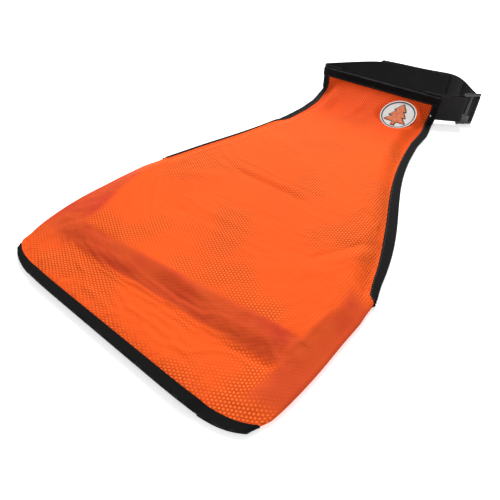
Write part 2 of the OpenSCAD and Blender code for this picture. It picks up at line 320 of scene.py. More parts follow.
def mesh_fabric():
    """Bright orange dimpled polyester mesh: raised cells, darker between, calmer on the stretched slopes of
    the padding. Those slopes, the band above the hem and the neck's slope carry painted shade, darker and
    redder.
    """
    n = Nodes("orange_mesh", Specular_IOR_Level=0.03, Sheen_Weight=0.06, Sheen_Roughness=0.4,
              Sheen_Tint=(1.0, 0.25, 0.06, 1))
    uv = n.uv()
    pitch = 0.00447
    d = hex_distance(n, uv, pitch)
    cell = n.range(d, pitch * 0.16, pitch * 0.46, 1.0, 0.0)
    # these mark the padding's stretched slopes and the neck's slope, which both get painted shade below
    tight_shade, neck = n.value("tight_shade"), n.value("neck")
    patchy = n.range(n.noise(uv, 8.0, 3.0), 0.40, 0.60, 0.06, 1.0)
    patchy = n.math("MAXIMUM", patchy, n.math("MULTIPLY", neck, 0.75))
    seen = n.math("MULTIPLY", patchy, n.math("SUBTRACT", 1.0, n.math("MULTIPLY", tight_shade, 0.92)), clamp=True)
    plain = (0.86, 0.102, 0.014)
    base = n.mix(cell, n.mix(seen, plain, (0.60, 0.060, 0.007)), n.mix(seen, plain, (0.98, 0.185, 0.036)))
    drift = n.range(n.noise(uv, 5.0, 4.0), 0.3, 0.7)
    base = n.mix(n.math("MULTIPLY", drift, 0.5), base, n.mix(1.0, base, (0.93, 0.82, 0.8), "MULTIPLY"))
    # painted shade: the neck's rising slope is painted darker and redder
    base = n.mix(n.math("MULTIPLY", neck, 0.8), base, n.mix(1.0, base, (0.76, 0.49, 0.40), "MULTIPLY"))
    cloud = n.range(n.noise(uv, 14.0, 3.0), 0.4, 0.7)
    # painted shade: the padding's stretched slopes and the band above the hem get a darker, redder, mottled
    # colour
    slope_shade_colour = n.mix(cloud, (0.60, 0.076, 0.020), (0.50, 0.044, 0.020))
    base = n.mix(n.math("MULTIPLY", tight_shade, 0.85), base, slope_shade_colour)
    n.colour(n.worn(base, 160.0, 0.45, 0.4, (0.50, 0.045, 0.010)))
    yarn = n.noise(uv, 2600.0, 2.0)
    n.roughness(yarn, 0.2, 0.8, 0.55, 0.75)
    height = n.math("MULTIPLY", cell, n.math("ADD", n.math("MULTIPLY", seen, 0.75), 0.25))
    n.relief(n.bump(height, 0.0005, 0.8, n.bump(yarn, 0.00012, 0.35)))
    return n.material


def woven_tape():
    """Charcoal grosgrain edge tape with fine cross ribs and scuffed folds."""
    n = Nodes("edge_tape", Specular_IOR_Level=0.07, Sheen_Weight=0.012, Sheen_Roughness=0.35)
    uv = n.uv()
    along, across = n.split(uv)[:2]
    weave = n.blend_of(n.waves(across, 0.0011), 0.6, n.waves(along, 0.0016), 0.4)
    fuzz = n.noise(uv, 900.0, 3.0)
    shade = n.ramp(n.math("ADD", n.math("MULTIPLY", weave, 0.12), fuzz), (0.25, (0.0028, 0.0028, 0.0029)),
                   (0.55, (0.0049, 0.0049, 0.0051)), (0.85, (0.0115, 0.0116, 0.012)))
    n.colour(n.worn(shade, 90.0, 0.42, 0.45, (0.034, 0.034, 0.036), detail=4.0))
    n.roughness(fuzz, 0.2, 0.8, 0.6, 0.82)
    n.relief(n.bump(weave, 0.00012, 0.6, n.bump(fuzz, 0.00025, 0.4)))
    return n.material


def webbing_fabric():
    """Black polyester belt webbing: chevron ribs along its length, smooth selvedges."""
    n = Nodes("belt_webbing", Specular_IOR_Level=0.12, Sheen_Weight=0.02, Sheen_Roughness=0.3)
    uv = n.uv()
    along, across = n.split(uv)[:2]
    lane = 0.0031
    slant = n.math("ADD", along, n.math("MULTIPLY", n.math("PINGPONG", across, lane), 0.55))
    weave = n.blend_of(n.waves(slant, 0.00165), 0.65, n.waves(across, lane), 0.35)
    fuzz = n.noise(uv, 1200.0, 3.0)
    shade = n.ramp(n.math("ADD", n.math("MULTIPLY", weave, 0.16), fuzz), (0.2, (0.0055, 0.0055, 0.0053)),
                   (0.55, (0.0105, 0.0102, 0.0098)), (0.9, (0.024, 0.0233, 0.0225)))
    drift = n.range(n.noise(uv, 14.0, 4.0), 0.35, 0.7)
    shade = n.mix(n.math("MULTIPLY", drift, 0.35), shade, (0.016, 0.0156, 0.015))
    n.colour(n.worn(shade, 120.0, 0.4, 0.4, (0.045, 0.044, 0.042)))
    n.roughness(fuzz, 0.2, 0.8, 0.45, 0.7)
    n.relief(n.bump(weave, 0.00022, 0.8, n.bump(fuzz, 0.0002, 0.35)))
    return n.material


def pile_fabric(name, pitch, dark, light):
    """Hook or loop pile: a dense field of small tufts."""
    n = Nodes(name, Roughness=0.85, Specular_IOR_Level=0.2, Sheen_Weight=0.1, Sheen_Roughness=0.5)
    uv = n.uv()
    wobble = n.add("ShaderNodeTexNoise")
    n.link(uv, wobble.inputs["Vector"])
    wobble.inputs["Scale"].default_value = 700.0
    moved = n.vector("ADD", uv, n.vector("MULTIPLY", wobble.outputs["Color"], (pitch * 0.6,) * 3))
    tuft = n.range(hex_distance(n, moved, pitch), 0.0, pitch * 0.6, 1.0, 0.0)
    fuzz = n.noise(uv, 2200.0, 4.0)
    height = n.math("ADD", tuft, n.math("MULTIPLY", fuzz, 0.6))
    n.colour(n.ramp(height, (0.25, dark), (1.0, light)))
    n.relief(n.bump(height, 0.0006, 1.0))
    return n.material


def plain_weave(name, dark, light, pitch=0.0009, sheen=0.08):
    """A plain woven cloth of crossing yarns."""
    n = Nodes(name, Specular_IOR_Level=0.3, Sheen_Weight=sheen, Sheen_Roughness=0.4)
    uv = n.uv()
    along, across = n.split(uv)[:2]
    weave = n.math("MULTIPLY", n.waves(along, pitch), n.waves(across, pitch))
    cloud = n.noise(uv, 9.0, 5.0)
    fuzz = n.noise(uv, 1500.0, 2.0)
    shade = n.math("ADD", n.blend_of(weave, 0.14, cloud, 0.7), n.math("MULTIPLY", fuzz, 0.3))
    n.colour(n.ramp(shade, (0.3, dark), (0.75, light)))
    n.roughness(fuzz, 0.2, 0.8, 0.66, 0.86)
    n.relief(n.bump(weave, 0.00018, 0.6, n.bump(fuzz, 0.00015, 0.3)))
    return n.material


def thread(name, dark, light):
    """Embroidery or sewing thread: a soft satin with twisted strands."""
    n = Nodes(name, Specular_IOR_Level=0.35, Sheen_Weight=0.08, Sheen_Roughness=0.3)
    place = n.place()
    strands = n.noise(place, 2400.0, 2.0)
    cloud = n.noise(place, 60.0, 3.0)
    n.colour(n.ramp(n.blend_of(strands, 0.5, cloud, 0.5), (0.3, dark), (0.7, light)))
    n.roughness(strands, 0.2, 0.8, 0.36, 0.6)
    n.relief(n.bump(strands, 0.0001, 0.5))
    return n.material


def moulded_plastic():
    """Black acetal: fine spark-eroded grain, brighter scuffs."""
    n = Nodes("slider_acetal", Roughness=0.3, Coat_Weight=0.15, Coat_Roughness=0.2)
    place = n.place()
    grain = n.noise(place, 3200.0, 2.0)
    scuff = n.range(n.noise(place, 210.0, 5.0, 0.7), 0.55, 0.72)
    n.colour(n.mix(n.math("MULTIPLY", scuff, 0.5), (0.018, 0.018, 0.019), (0.06, 0.06, 0.062)))
    n.roughness(grain, 0.3, 0.7, 0.24, 0.4)
    n.relief(n.bump(grain, 0.00005, 0.4))
    return n.material


def rivet_metal():
    """Nickel-plated steel with fine turning marks."""
    n = Nodes("rivet_nickel", Metallic=1.0, Roughness=0.25)
    place = n.place()
    brushed = n.noise(n.vector("MULTIPLY", place, (1, 1, 9)), 900.0, 3.0)
    n.colour(n.ramp(brushed, (0.3, (0.62, 0.62, 0.63)), (0.7, (0.85, 0.85, 0.86))))
    n.roughness(brushed, 0.3, 0.7, 0.18, 0.36)
    n.relief(n.bump(brushed, 0.00003, 0.3))
    return n.material


MESH = mesh_fabric()
TAPE = woven_tape()
WEBBING = webbing_fabric()
LOOP = pile_fabric("loop_pile", 0.0016, (0.003, 0.003, 0.003), (0.022, 0.022, 0.021))
HOOK = pile_fabric("hook_tape", 0.0013, (0.004, 0.004, 0.004), (0.03, 0.03, 0.03))
LINING = plain_weave("lining_cloth", (0.012, 0.012, 0.013), (0.028, 0.028, 0.031))
ARAMID = plain_weave("protective_fibre", (0.50, 0.42, 0.16), (0.75, 0.66, 0.32), 0.0024)
PATCH = plain_weave("patch_twill", (0.58, 0.57, 0.55), (0.72, 0.71, 0.69), 0.0007)
WHITE_THREAD = thread("white_thread", (0.56, 0.55, 0.53), (0.76, 0.75, 0.73))
ORANGE_THREAD = thread("orange_thread", (0.55, 0.12, 0.035), (0.76, 0.22, 0.07))
BLACK_THREAD = thread("black_thread", (0.010, 0.010, 0.011), (0.045, 0.045, 0.048))
ACETAL = moulded_plastic()
NICKEL = rivet_metal()

# ---- The panel's cloth ----
ROLL_R = 2.8
ROLL_W = 54.0  # cloth rolled round and under at the lower side edges
FLAP_Z = 2.3  # height of the flap under the roll
EDGE_Z = 3.6  # height of the plain edge, the hem and the padded plateau
HEM_Z = 5.4
PLATEAU_Z = 18.6
ROLL_ROWS = {-1: (245.0, 312.0), 1: (168.0, 228.0)}  # rolled below the first, plain above the second
EDGE_TURN = {-1: 12.0, 1: 0.0}  # above the roll the left edge is still turned under by this much
EDGE_IN = 1.5  # the cloth ends this far inside its tape


def half_width(y):
    """Half the panel's width at a distance y up from the hem's corners."""
    y = np.asarray(y, float)
    s = np.clip((FLARE_END_Y - y) / (FLARE_END_Y - HIP_Y), 0, 1)
    flare = lerp(NECK_W, HIP_W, s - FLARE_CURVE * np.sin(2 * math.pi * s)) / 2
    low = (HIP_W - (HIP_W - HEM_W) * (np.clip(HIP_Y - y, 0, None) / HIP_Y) ** 3) / 2
    return np.where(y > HIP_Y, flare, low)


def lie_shift(y):
    """The panel's middle line lies a little to the right between the hem and the neck."""
    y = np.asarray(y, float)
    return (3 * ease(y / 30) + 5 * ease((y - 120) / 100)) * ease((PANEL_END_Y - y) / 60)


def hem_shift(u):
    """The bowed hem's Y; u runs from -1 at the left edge to 1 at the right one."""
    u = np.clip(u, -1, 1)
    return -HEM_BOW - HEM_SKEW * u + HEM_ROUND * np.abs(u) ** 8


def bowed(u, y):
    """A row's Y at u: the hem's bow fades out over the first 120 mm."""
    return y + hem_shift(u) * (1 - ease(y / 120.0))


def rolled(y, side):
    """How much cloth is turned round and under at the side edge, mm."""
    full, none = ROLL_ROWS[side]
    turn = EDGE_TURN[side] * ease((NECK_START_Y - 6 - y) / 60)
    return float(max(turn, ROLL_W * ease((none - y) / (none - full))))


def roll_radius(y):
    """The roll is tighter where it meets the hem."""
    return float(lerp((HEM_Z - FLAP_Z) / 2, ROLL_R, ease((y - 16) / 40)))


def fold_line(x, y, a, b, width, height):
    """A long soft fold from a to b; width is its half breadth and height its rise, negative for a hollow."""
    a, b = np.array(a, float), np.array(b, float)
    length = np.hypot(*(b - a))
    d = (b - a) / length
    along = (x - a[0]) * d[0] + (y - a[1]) * d[1]
    across = -(x - a[0]) * d[1] + (y - a[1]) * d[0]
    ends = ease(along / (0.3 * length)) * ease((length - along) / (0.3 * length))
    return height * ends * np.exp(-(across / width) ** 2)


# from, to, half breadth, rise
FOLDS = [
    ((-110, 334), (90, 328), 7, 2.4), ((-95, 320), (85, 314), 7, -2.2),
    ((196, 318), (128, 205), 7, -2.9), ((206, 300), (146, 206), 7, 2.2),
    ((206, 322), (140, 354), 6, -2.2), ((-40, 560), (60, 470), 12, 1.9),
    ((-20, 600), (70, 520), 9, -1.6), ((-150, 250), (-60, 300), 12, 1.6),
    ((30, 430), (130, 380), 10, 1.4), ((-120, 180), (40, 200), 12, -1.4),
    ((60, 140), (190, 230), 11, 1.4), ((-100, 450), (20, 420), 10, 1.4),
    ((-118, -6), (-100, 36), 3, -2.4), ((-108, -8), (-92, 30), 2.6, 1.8), ((-62, -12), (-46, 34), 3, -2.3),
    ((-88, -10), (-74, 28), 3, 1.9), ((-96, -8), (-84, 22), 2.4, -1.7), ((-20, -14), (-14, 34), 3.4, 1.2),
    ((30, -16), (24, 30), 3.4, -1.4), ((90, -18), (84, 34), 4, 1.4), ((140, -16), (128, 38), 4, -1.5),
    ((-160, -4), (-150, 42), 4, 1.5), ((60, -18), (58, 26), 3, 1.2), ((-140, -6), (-128, 30), 3, -1.5),
    ((-40, -14), (-30, 26), 2.6, 1.6), ((-52, -12), (-40, 20), 2.4, -1.5), ((110, -18), (104, 24), 3, -1.2),
    ((-150, 66), (20, 82), 6, 2.6), ((-60, 80), (110, 80), 5, -2.4), ((40, 74), (190, 92), 6, 2.7),
    ((110, 66), (200, 70), 5, -2.1), ((-170, 84), (-80, 92), 5, -1.9), ((-30, 96), (90, 90), 5, 1.6),
    ((150, 96), (214, 60), 6, 2.4), ((160, 112), (222, 92), 6, -2.1), ((170, 140), (224, 128), 6, 1.8),
    ((-206, 60), (-160, 100), 6, -2.2), ((-210, 90), (-168, 130), 6, 1.9),
]


def wrinkles(x, y):
    """Height of all the folds and of the cloth's slow swell."""
    total = np.zeros(np.broadcast(x, y).shape)
    for a, b, width, height in FOLDS:
        total = total + fold_line(x, y, a, b, width, height)
    swell = 0.7 * np.sin(x / 37.0 + 1.3 * np.sin(y / 61.0)) * np.sin(y / 43.0 + 0.8)
    return total + swell


def slope_width(y, side):
    """How far in from the side edge the padded plateau starts, mm."""
    share = ease((ROLL_ROWS[side][1] - y) / (ROLL_ROWS[side][1] - ROLL_ROWS[side][0]))
    if side < 0:
        low_corner = lerp(34.0, 64.0, ease((215.0 - y) / 110.0))
    else:
        low_corner = lerp(28.0, 38.0, ease((200.0 - y) / 90))
    return lerp(42.0, low_corner, share)


def pad_rise(x, y, d, side):
    """1 on the padded plateau, 0 off it."""
    share = rolled(y, side) / ROLL_W
    margin = lerp(16.0, 2.0, share)
    low = 60.0 + 0.03 * x
    high = 97.0 + 0.05 * x
    return ease((d - margin) / (slope_width(y, side) - margin)) * ease((y - low) / (high - low))


def edge_x(y, side):
    """Half width of the cloth's silhouette: where it is rolled it lies a little fuller than the cut."""
    if side < 0:
        fuller = 8.5 * ease(y / 16) * (1 - 0.42 * ease((y - 80) / 120)) * ease((335 - y) / 90)
    else:
        fuller = 4.6 * ease(y / 24) * ease((250 - y) / 50)
    return half_width(y) - EDGE_IN + fuller


def top_z(x, y, d, side):
    """Height of the cloth's middle, at a distance d in from the silhouette."""
    share = rolled(y, side) / ROLL_W
    turn = min(share * ROLL_W / (math.pi * roll_radius(y)), 1.0)
    edge = lerp(EDGE_Z, FLAP_Z + 2 * roll_radius(y), turn)
    flat = lerp(EDGE_Z, HEM_Z, share)
    base = lerp(edge, flat, ease(d / 50.0))
    base = base + 3.6 * share * ease((y - 14) / 40) * np.exp(-((d - 26) / 15.0) ** 2)
    rise = pad_rise(x, y, d, side)
    inside = ease((d - 12.0) / 26.0) * ease((y - 12.0) / 24.0)
    near_hem = ease((d - 12.0) / 20.0) * ease((y - 16.0) / 8.0)
    folds = wrinkles(x, y) * np.where(y < 60, near_hem, inside)
    return base + (PLATEAU_Z - base) * rise + folds


def section(y, side, a):
    """Points of the cloth on one side at fabric distances a from its true edge, before the hem is bowed."""
    g, r = rolled(y, side), roll_radius(y)
    a = np.asarray(a, float)
    turn_max = min(g / r, math.pi)
    edge_z = lerp(EDGE_Z, FLAP_Z + 2 * r, min(g / (math.pi * r), 1.0))
    inset = r * math.sin(min(turn_max, math.pi / 2))
    turn = np.clip((g - a) / r, 0, None)
    under = turn > math.pi
    d = np.where(a >= g, inset + (a - g),
                 np.where(under, inset + (turn - math.pi) * r, inset - r * np.sin(turn)))
    x = side * (edge_x(y, side) - d) + lie_shift(y)
    z = np.where(a >= g, top_z(x, y, d, side),
                 np.where(under, edge_z - 2 * r, edge_z - r * (1 - np.cos(turn))))
    u = (x - lie_shift(y)) / half_width(y)
    return np.column_stack([x, bowed(u, y), z])


EDGE_LINES = np.concatenate([np.arange(0, 15, 2), [16.5, 18.5], np.arange(21, 55, 3), [56, 58, 61, 64],
                             np.arange(68, 81, 4), [85, 90]]).astype(float)
INNER_LINES = 40
NECK_ROWS = 46
HEM_START = 1.2
NECK_LEAN = 3.3  # the neck's left top corner leans out
Y_ROWS = np.concatenate([np.arange(HEM_START, 58, 3.4), np.arange(58, 104, 2.8),
                         np.arange(104, NECK_START_Y, 5.5), [NECK_START_Y]])


def fabric_lines(y, side):
    """Fabric distances from the true edge to the middle of the panel."""
    g, r = rolled(y, side), roll_radius(y)
    whole = edge_x(y, side) + g - r * math.sin(min(g / r, math.pi / 2))
    edge = EDGE_LINES * min(1.0, (whole - 8) / EDGE_LINES[-1])
    inner = lerp(edge[-1], whole, np.arange(1, INNER_LINES + 1) / INNER_LINES)
    return np.concatenate([edge, inner])


def neck_curve(start, u):
    """(y, z) up the neck from a start point: a sharp bend at the sides, a soft slope in the middle."""
    weight = lerp(0.62, 9.0, min(abs(u), 1.0) ** 9)
    corner = np.array([PANEL_LEN - 1.0, EDGE_Z])
    end = np.array([PANEL_LEN - 1.0, NECK_TOP - 1.5])
    t = np.linspace(0, 1, 400)[:, None]
    bottom = (1 - t) ** 2 + 2 * weight * t * (1 - t) + t ** 2
    curve = ((1 - t) ** 2 * start + 2 * weight * t * (1 - t) * corner + t ** 2 * end) / bottom
    steps = path_steps(curve)
    wanted = np.linspace(0, steps[-1], NECK_ROWS + 1)[1:]
    return np.column_stack([np.interp(wanted, steps, curve[:, k]) for k in (0, 1)])


def up_the_neck(last, sides, lines):
    """Rows that carry a lying row on up the neck; lines are fabric distances from that side's edge."""
    columns = []
    for point, side, a in zip(last, sides, lines):
        u = (point[0] - lie_shift(NECK_START_Y)) / half_width(NECK_START_Y)
        yz = neck_curve(point[1:], u)
        along = (yz[:, 0] - NECK_START_Y) / (PANEL_LEN - 1 - NECK_START_Y)
        x = lerp(side * (half_width(yz[:, 0]) - EDGE_IN - a), u * half_width(yz[:, 0]), ease((a - 20) / 20))
        ripple = np.sin(np.pi * along) ** 2 * (4.4 * np.exp(-((u + 0.62 + 0.1 * along) / 0.065) ** 2)
                                               - 3.6 * np.exp(-((u + 0.42 + 0.15 * along) / 0.065) ** 2)
                                               + 2.6 * np.exp(-((u + 0.2 - 0.1 * along) / 0.07) ** 2))
        x = x - NECK_LEAN * ease(-u) * ease((yz[:, 1] - 14) / 30)
        columns.append(np.column_stack([x + lie_shift(yz[:, 0]), yz[:, 0], yz[:, 1] + ripple]))
    return [np.array([c[k] for c in columns]) for k in range(NECK_ROWS)]


def panel_grid():
    """The whole shell cloth: rows from the hem to the neck's top, columns from the left edge to the right."""
    rows = []
    for y in Y_ROWS:
        left, right = (section(y, side, fabric_lines(y, side)) for side in (-1, 1))
        rows.append(np.vstack([left[:-1], right[::-1]]))
    lines = [fabric_lines(NECK_START_Y, side) for side in (-1, 1)]
    sides = [-1] * (len(lines[0]) - 1) + [1] * len(lines[1])
    rows += up_the_neck(rows[-1], sides, np.r_[lines[0][:-1], lines[1][::-1]])
    return np.array(rows)


TAPE_LOW = {-1: 1.0, 1: 0.6}  # the right tape is folded deeper towards the roll, so less of it shows


def edge_grid(side, lines, neck_share=0.76):
    """The cloth along one side edge, at given fabric distances from it, from the hem to the neck's top."""
    rows = [section(y, side, lines * lerp(TAPE_LOW[side], 1.0, ease((y - 215) / 130))
                    * lerp(1.0, neck_share, ease((y - 380) / 170))) for y in Y_ROWS]
    rows += up_the_neck(rows[-1], [side] * len(lines), lines * neck_share)
    return np.array(rows)


PATCH_MID = np.array([65.3, 660.3, 18.0])
PATCH_TILT = math.radians(25)
PATCH_RISE = np.array([0, math.cos(PATCH_TILT), math.sin(PATCH_TILT)])
PATCH_UP = np.array([0, -math.sin(PATCH_TILT), math.cos(PATCH_TILT)])


def stiffened(grid):
    """The cloth under the patch is kept nearly flat by it."""
    offset = grid - PATCH_MID
    reach = np.hypot(offset[..., 0], offset @ PATCH_RISE)
    share = (1 - ease((reach - 31) / 17)) * (np.arange(len(grid)) >= len(Y_ROWS) - 1)[:, None]
    return grid - (share * (offset @ PATCH_UP))[..., None] * PATCH_UP


CLOTH = stiffened(panel_grid())
LIE_ROWS = len(Y_ROWS)
MIDDLE = CLOTH.shape[1] // 2
ROW_LENGTH = np.concatenate([Y_ROWS, NECK_START_Y + np.cumsum(np.linalg.norm(
    np.diff(CLOTH[LIE_ROWS - 1:, MIDDLE], axis=0), axis=1))])


def cloth_uv(grid):
    """Fabric coordinates in metres: across from the middle line, and along from the hem."""
    steps = np.linalg.norm(np.diff(grid[:, :, [0, 2]], axis=1), axis=2)
    across = np.concatenate([np.zeros((len(grid), 1)), np.cumsum(steps, axis=1)], axis=1)
    across -= across[:, grid.shape[1] // 2][:, None]
    along = np.repeat(ROW_LENGTH[:, None], grid.shape[1], axis=1)
    u = (grid[:, :, 0] - lie_shift(grid[:, :, 1])) / half_width(np.clip(grid[:, :, 1], 0, None))
    along[:LIE_ROWS] += hem_shift(u[:LIE_ROWS]) * (1 - ease(along[:LIE_ROWS] / 120.0))
    return np.stack([across, along], axis=2).reshape(-1, 2) * MM


def taut_slope_shade(points):
    """1 where the cloth is stretched down the side of the padding and nothing backs it, 0 on the flat; the
    mesh material paints shade on these slopes.
    """
    x, y = points[:, 0], points[:, 1]
    band = ease((y - 56 - 0.03 * x) / 8) * ease((102 + 0.05 * x - y) / 9)
    d = half_width(np.clip(y, 0, None)) - np.abs(x - lie_shift(y))
    left = ease((slope_width(y, -1) + 2 - d) / 14) * ease((262 - y) / 60) * ease((y - 20) / 60)
    right = ease((slope_width(y, 1) - d) / 12) * ease((216 - y) / 30) * ease((y - 6) / 30)
    side = np.where(x < 0, left, right)
    return np.clip(np.maximum(band, side), 0, 1)


def neck_painted_shade(points):
    """1 on the neck's rising slope, which the mesh material paints darker and redder as painted shade."""
    return ease((points[:, 1] - 490 - 0.2 * np.abs(points[:, 0] + 20)) / 150)


def make_shell():
    rows, cols = CLOTH.shape[:2]
    points = CLOTH.reshape(-1, 3)
    obj = make_mesh("shell_cloth", points, grid_faces(rows, cols), cloth_uv(CLOTH))
    # painted shade: marks the padding's slopes and the band above the hem for a darker, redder colour
    add_value(obj, "tight_shade", taut_slope_shade(points))
    # painted shade on the neck's rising slope
    add_value(obj, "neck", neck_painted_shade(points))
    edge = np.zeros((rows, cols))
    edge[:, :11] = edge[:, -11:] = 1
    edge[:7] = 1
    add_value(obj, "edge", edge.ravel())
    obj.data.materials.append(MESH)
    return obj


def bend_with_neck(obj):
    """The piece crosses the fold below the neck; this only bakes its transform into its points and does not
    bend it.
    """
    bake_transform(obj)


SLACK = 0.012  # the cloth is cut this share too large
MOVE_CAP = 4.5
SETTLE_FRAMES = 24
BED_DROP = 1.6


def pin_weights():
    """1 where the cloth is sewn into a tape or to the neck, 0 where it lies loose over the padding."""
    rows, cols = CLOTH.shape[:2]
    weights = np.ones((rows, cols))
    for j, y in enumerate(Y_ROWS):
        for side, part in ((-1, slice(0, MIDDLE + 1)), (1, slice(MIDDLE, cols))):
            a = fabric_lines(y, side)
            a = a if side < 0 else a[::-1]
            inside = ease((a - rolled(y, side) - 18) / 16)
            weights[j, part] = 1 - inside * ease((y - 18) / 12) * ease((552 - y) / 60)
    return weights


def settle(obj):
    """Lets the loose cloth, cut a little too large, drop on the padding under it, and keeps the result."""
    start = np.empty(len(obj.data.vertices) * 3, np.float32)
    obj.data.vertices.foreach_get("co", start)
    bed = bpy.data.objects.new("bed", obj.data.copy())
    bpy.context.collection.objects.link(bed)
    lowered = start.reshape(-1, 3) - np.array([0, 0, BED_DROP * MM], np.float32)
    bed.data.vertices.foreach_set("co", lowered.ravel())
    bed.data.update()
    bed.modifiers.new("Collision", "COLLISION")
    bed.collision.thickness_outer = 0.0006
    bed.collision.cloth_friction = 8.0
    group = obj.vertex_groups.new(name="sewn")
    for k, weight in enumerate(pin_weights().ravel()):
        group.add([k], float(weight), "REPLACE")
    cloth = obj.modifiers.new("Cloth", "CLOTH")
    sim = cloth.settings
    sim.quality = 6
    sim.mass = 0.28
    sim.tension_stiffness = sim.compression_stiffness = 14.0
    sim.shear_stiffness = 5.0
    sim.bending_stiffness = 0.12
    sim.air_damping = 2.0
    sim.shrink_min = -SLACK
    sim.vertex_group_mass = group.name
    sim.pin_stiffness = 1.0
    cloth.collision_settings.distance_min = 0.0008
    cloth.collision_settings.use_self_collision = False
    cloth.point_cache.frame_start, cloth.point_cache.frame_end = 1, SETTLE_FRAMES
    scene = bpy.context.scene
    for k in range(1, SETTLE_FRAMES + 1):
        scene.frame_set(k)
    bake_modifiers(obj)
    obj.vertex_groups.clear()
    moved = np.empty_like(start)
    obj.data.vertices.foreach_get("co", moved)
    step = (moved - start).reshape(-1, 3)
    size = np.linalg.norm(step, axis=1, keepdims=True)
    step *= np.minimum(1.0, MOVE_CAP * MM / np.maximum(size, 1e-9))
    obj.data.vertices.foreach_set("co", (start.reshape(-1, 3) + step).ravel())
    obj.data.update()
    scene.frame_set(1)
    mesh = bed.data
    bpy.data.objects.remove(bed)
    bpy.data.meshes.remove(mesh)


shell = make_shell()
settle(shell)
subdivide(shell, 1)
thicken(shell, 1.0, 0.0)
bake_modifiers(shell)
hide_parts("outer_shell", "neck_shell")
bend_with_neck(shell)

# ---- The lining ----
LINING_ROWS = np.concatenate([np.arange(4.0, 690, 8.0), [694.0, 698.0, 700.5]])
LINING_BACK_Y = PANEL_LEN + 0.9
LINING_BEND_R = 5.0


def lining_grid():
    shares = np.linspace(-1, 1, 61)
    rows = []
    for y in LINING_ROWS:
        half = half_width(y) - 7.0
        x = shares * half
        side = np.where(x < 0, rolled(y, -1), rolled(y, 1)) / ROLL_W
        z = lerp(1.5, 3.9, ease(side * 3)) + 0.25 * np.sin(x / 23.0) * np.sin(y / 31.0) * ease(y / 60)
        rows.append(np.column_stack([x + lie_shift(y), bowed(x / half_width(y), y), z]))
    x = shares * (NECK_W / 2 - 3.0)
    foot = LINING_BACK_Y - LINING_BEND_R
    for t in np.linspace(10, 90, 7):
        t = math.radians(t)
        rows.append(np.column_stack([x, np.full_like(x, foot + LINING_BEND_R * math.sin(t)),
                                     np.full_like(x, 1.5 + LINING_BEND_R * (1 - math.cos(t)))]))
    for z in np.linspace(9, NECK_TOP - 2.5, 16):
        bulge = 0.5 * np.sin(x / 19.0) * math.sin(math.pi * (z - 9) / (NECK_TOP - 11))
        rows.append(np.column_stack([x, LINING_BACK_Y + bulge, np.full_like(x, z)]))
    return np.array(rows)


def make_lining():
    grid = lining_grid()
    steps = path_steps(grid[:, grid.shape[1] // 2])
    along = np.repeat(steps[:, None], grid.shape[1], axis=1)
    uv = np.stack([grid[:, :, 0], along], axis=2).reshape(-1, 2) * MM
    obj = make_mesh("lining_sheet", grid.reshape(-1, 3), grid_faces(*grid.shape[:2]), uv)
    obj.data.materials.append(LINING)
    thicken(obj, 0.8, 0.0)
    bake_modifiers(obj)
    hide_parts("inner_lining", "neck_lining")
    bend_with_neck(obj)
    return obj


lining = make_lining()


# ---- Folded tapes ----
TAPE_T = 0.75
TAPE_OUT = 1.25
TAPE_LINES = np.array([0, 1.0, 3.0, 6.0, 9.0, 12.0, 14.5, TAPE_W - 0.8, TAPE_W])
STITCH_LINE = TAPE_W - 2.4
HEM_SHARE = 0.68  # the hem tape is folded deeper, so less of it shows on top
CORNER_SHARE = 0.5  # and deeper again at the left corner
WRAP_STEPS = 5


def grid_normals(grid):
    """Unit normals of a grid of points: its rows run along the edge and its columns away from it."""
    along = np.gradient(grid, axis=0)
    across = np.gradient(grid, axis=1)
    n = np.cross(across, along)
    return n / np.linalg.norm(n, axis=2, keepdims=True)


def tape_rings(grid, side, below):
    """Closed rings of a folded tape round the cloth's edge, column 0; below is the back leg's depth."""
    n = grid_normals(grid) * side
    out = grid[:, 0] - grid[:, 1]
    out /= np.linalg.norm(out, axis=1, keepdims=True)
    lip = np.ones(grid.shape[1])
    lip[-1] = 0.62
    rings = []
    for j in range(len(grid)):
        b = below[j] if np.ndim(below) == 1 else below[j, 0]
        depth = below[j] if np.ndim(below) == 2 else np.full(grid.shape[1], below[j])
        front = grid[j] + n[j] * (TAPE_OUT * lip)[:, None]
        back = grid[j] - n[j] * (depth * lip)[:, None]
        mid = (TAPE_OUT - b) / 2
        half = (TAPE_OUT + b) / 2
        wrap = [grid[j, 0] + n[j, 0] * (mid + half * math.cos(t)) + out[j] * TAPE_OUT * math.sin(t)
                for t in np.linspace(0, math.pi, WRAP_STEPS + 2)[1:-1]]
        inner_front = grid[j, 1:] + n[j, 1:] * 0.55
        inner_back = grid[j, 1:] - n[j, 1:] * np.maximum(depth[1:] - TAPE_T, 0.5)[:, None]
        rings.append(np.vstack([front[::-1], wrap, back, inner_back[::-1], inner_front]))
    return np.array(rings), n


def ring_mesh(name, rings, material, edge_of):
    """A tape through rings of points, with a lengthwise u and a round-the-ring v."""
    count, size = rings.shape[:2]
    steps = path_steps(rings.mean(axis=1))
    around = np.cumsum(np.linalg.norm(np.diff(rings, axis=1, prepend=rings[:, :1]), axis=2), axis=1)
    uv = np.stack([np.repeat(steps[:, None], size, axis=1), around], axis=2).reshape(-1, 2) * MM
    obj = skin(name, rings, material, uv)
    add_value(obj, "edge", np.tile(edge_of, count))
    return obj


STITCH_SHAPE = ((0.0, 0.45, 0.5), (0.25, 0.95, 0.0), (0.5, 1.0, -0.1), (0.75, 0.95, 0.0), (1.0, 0.45, 0.5))


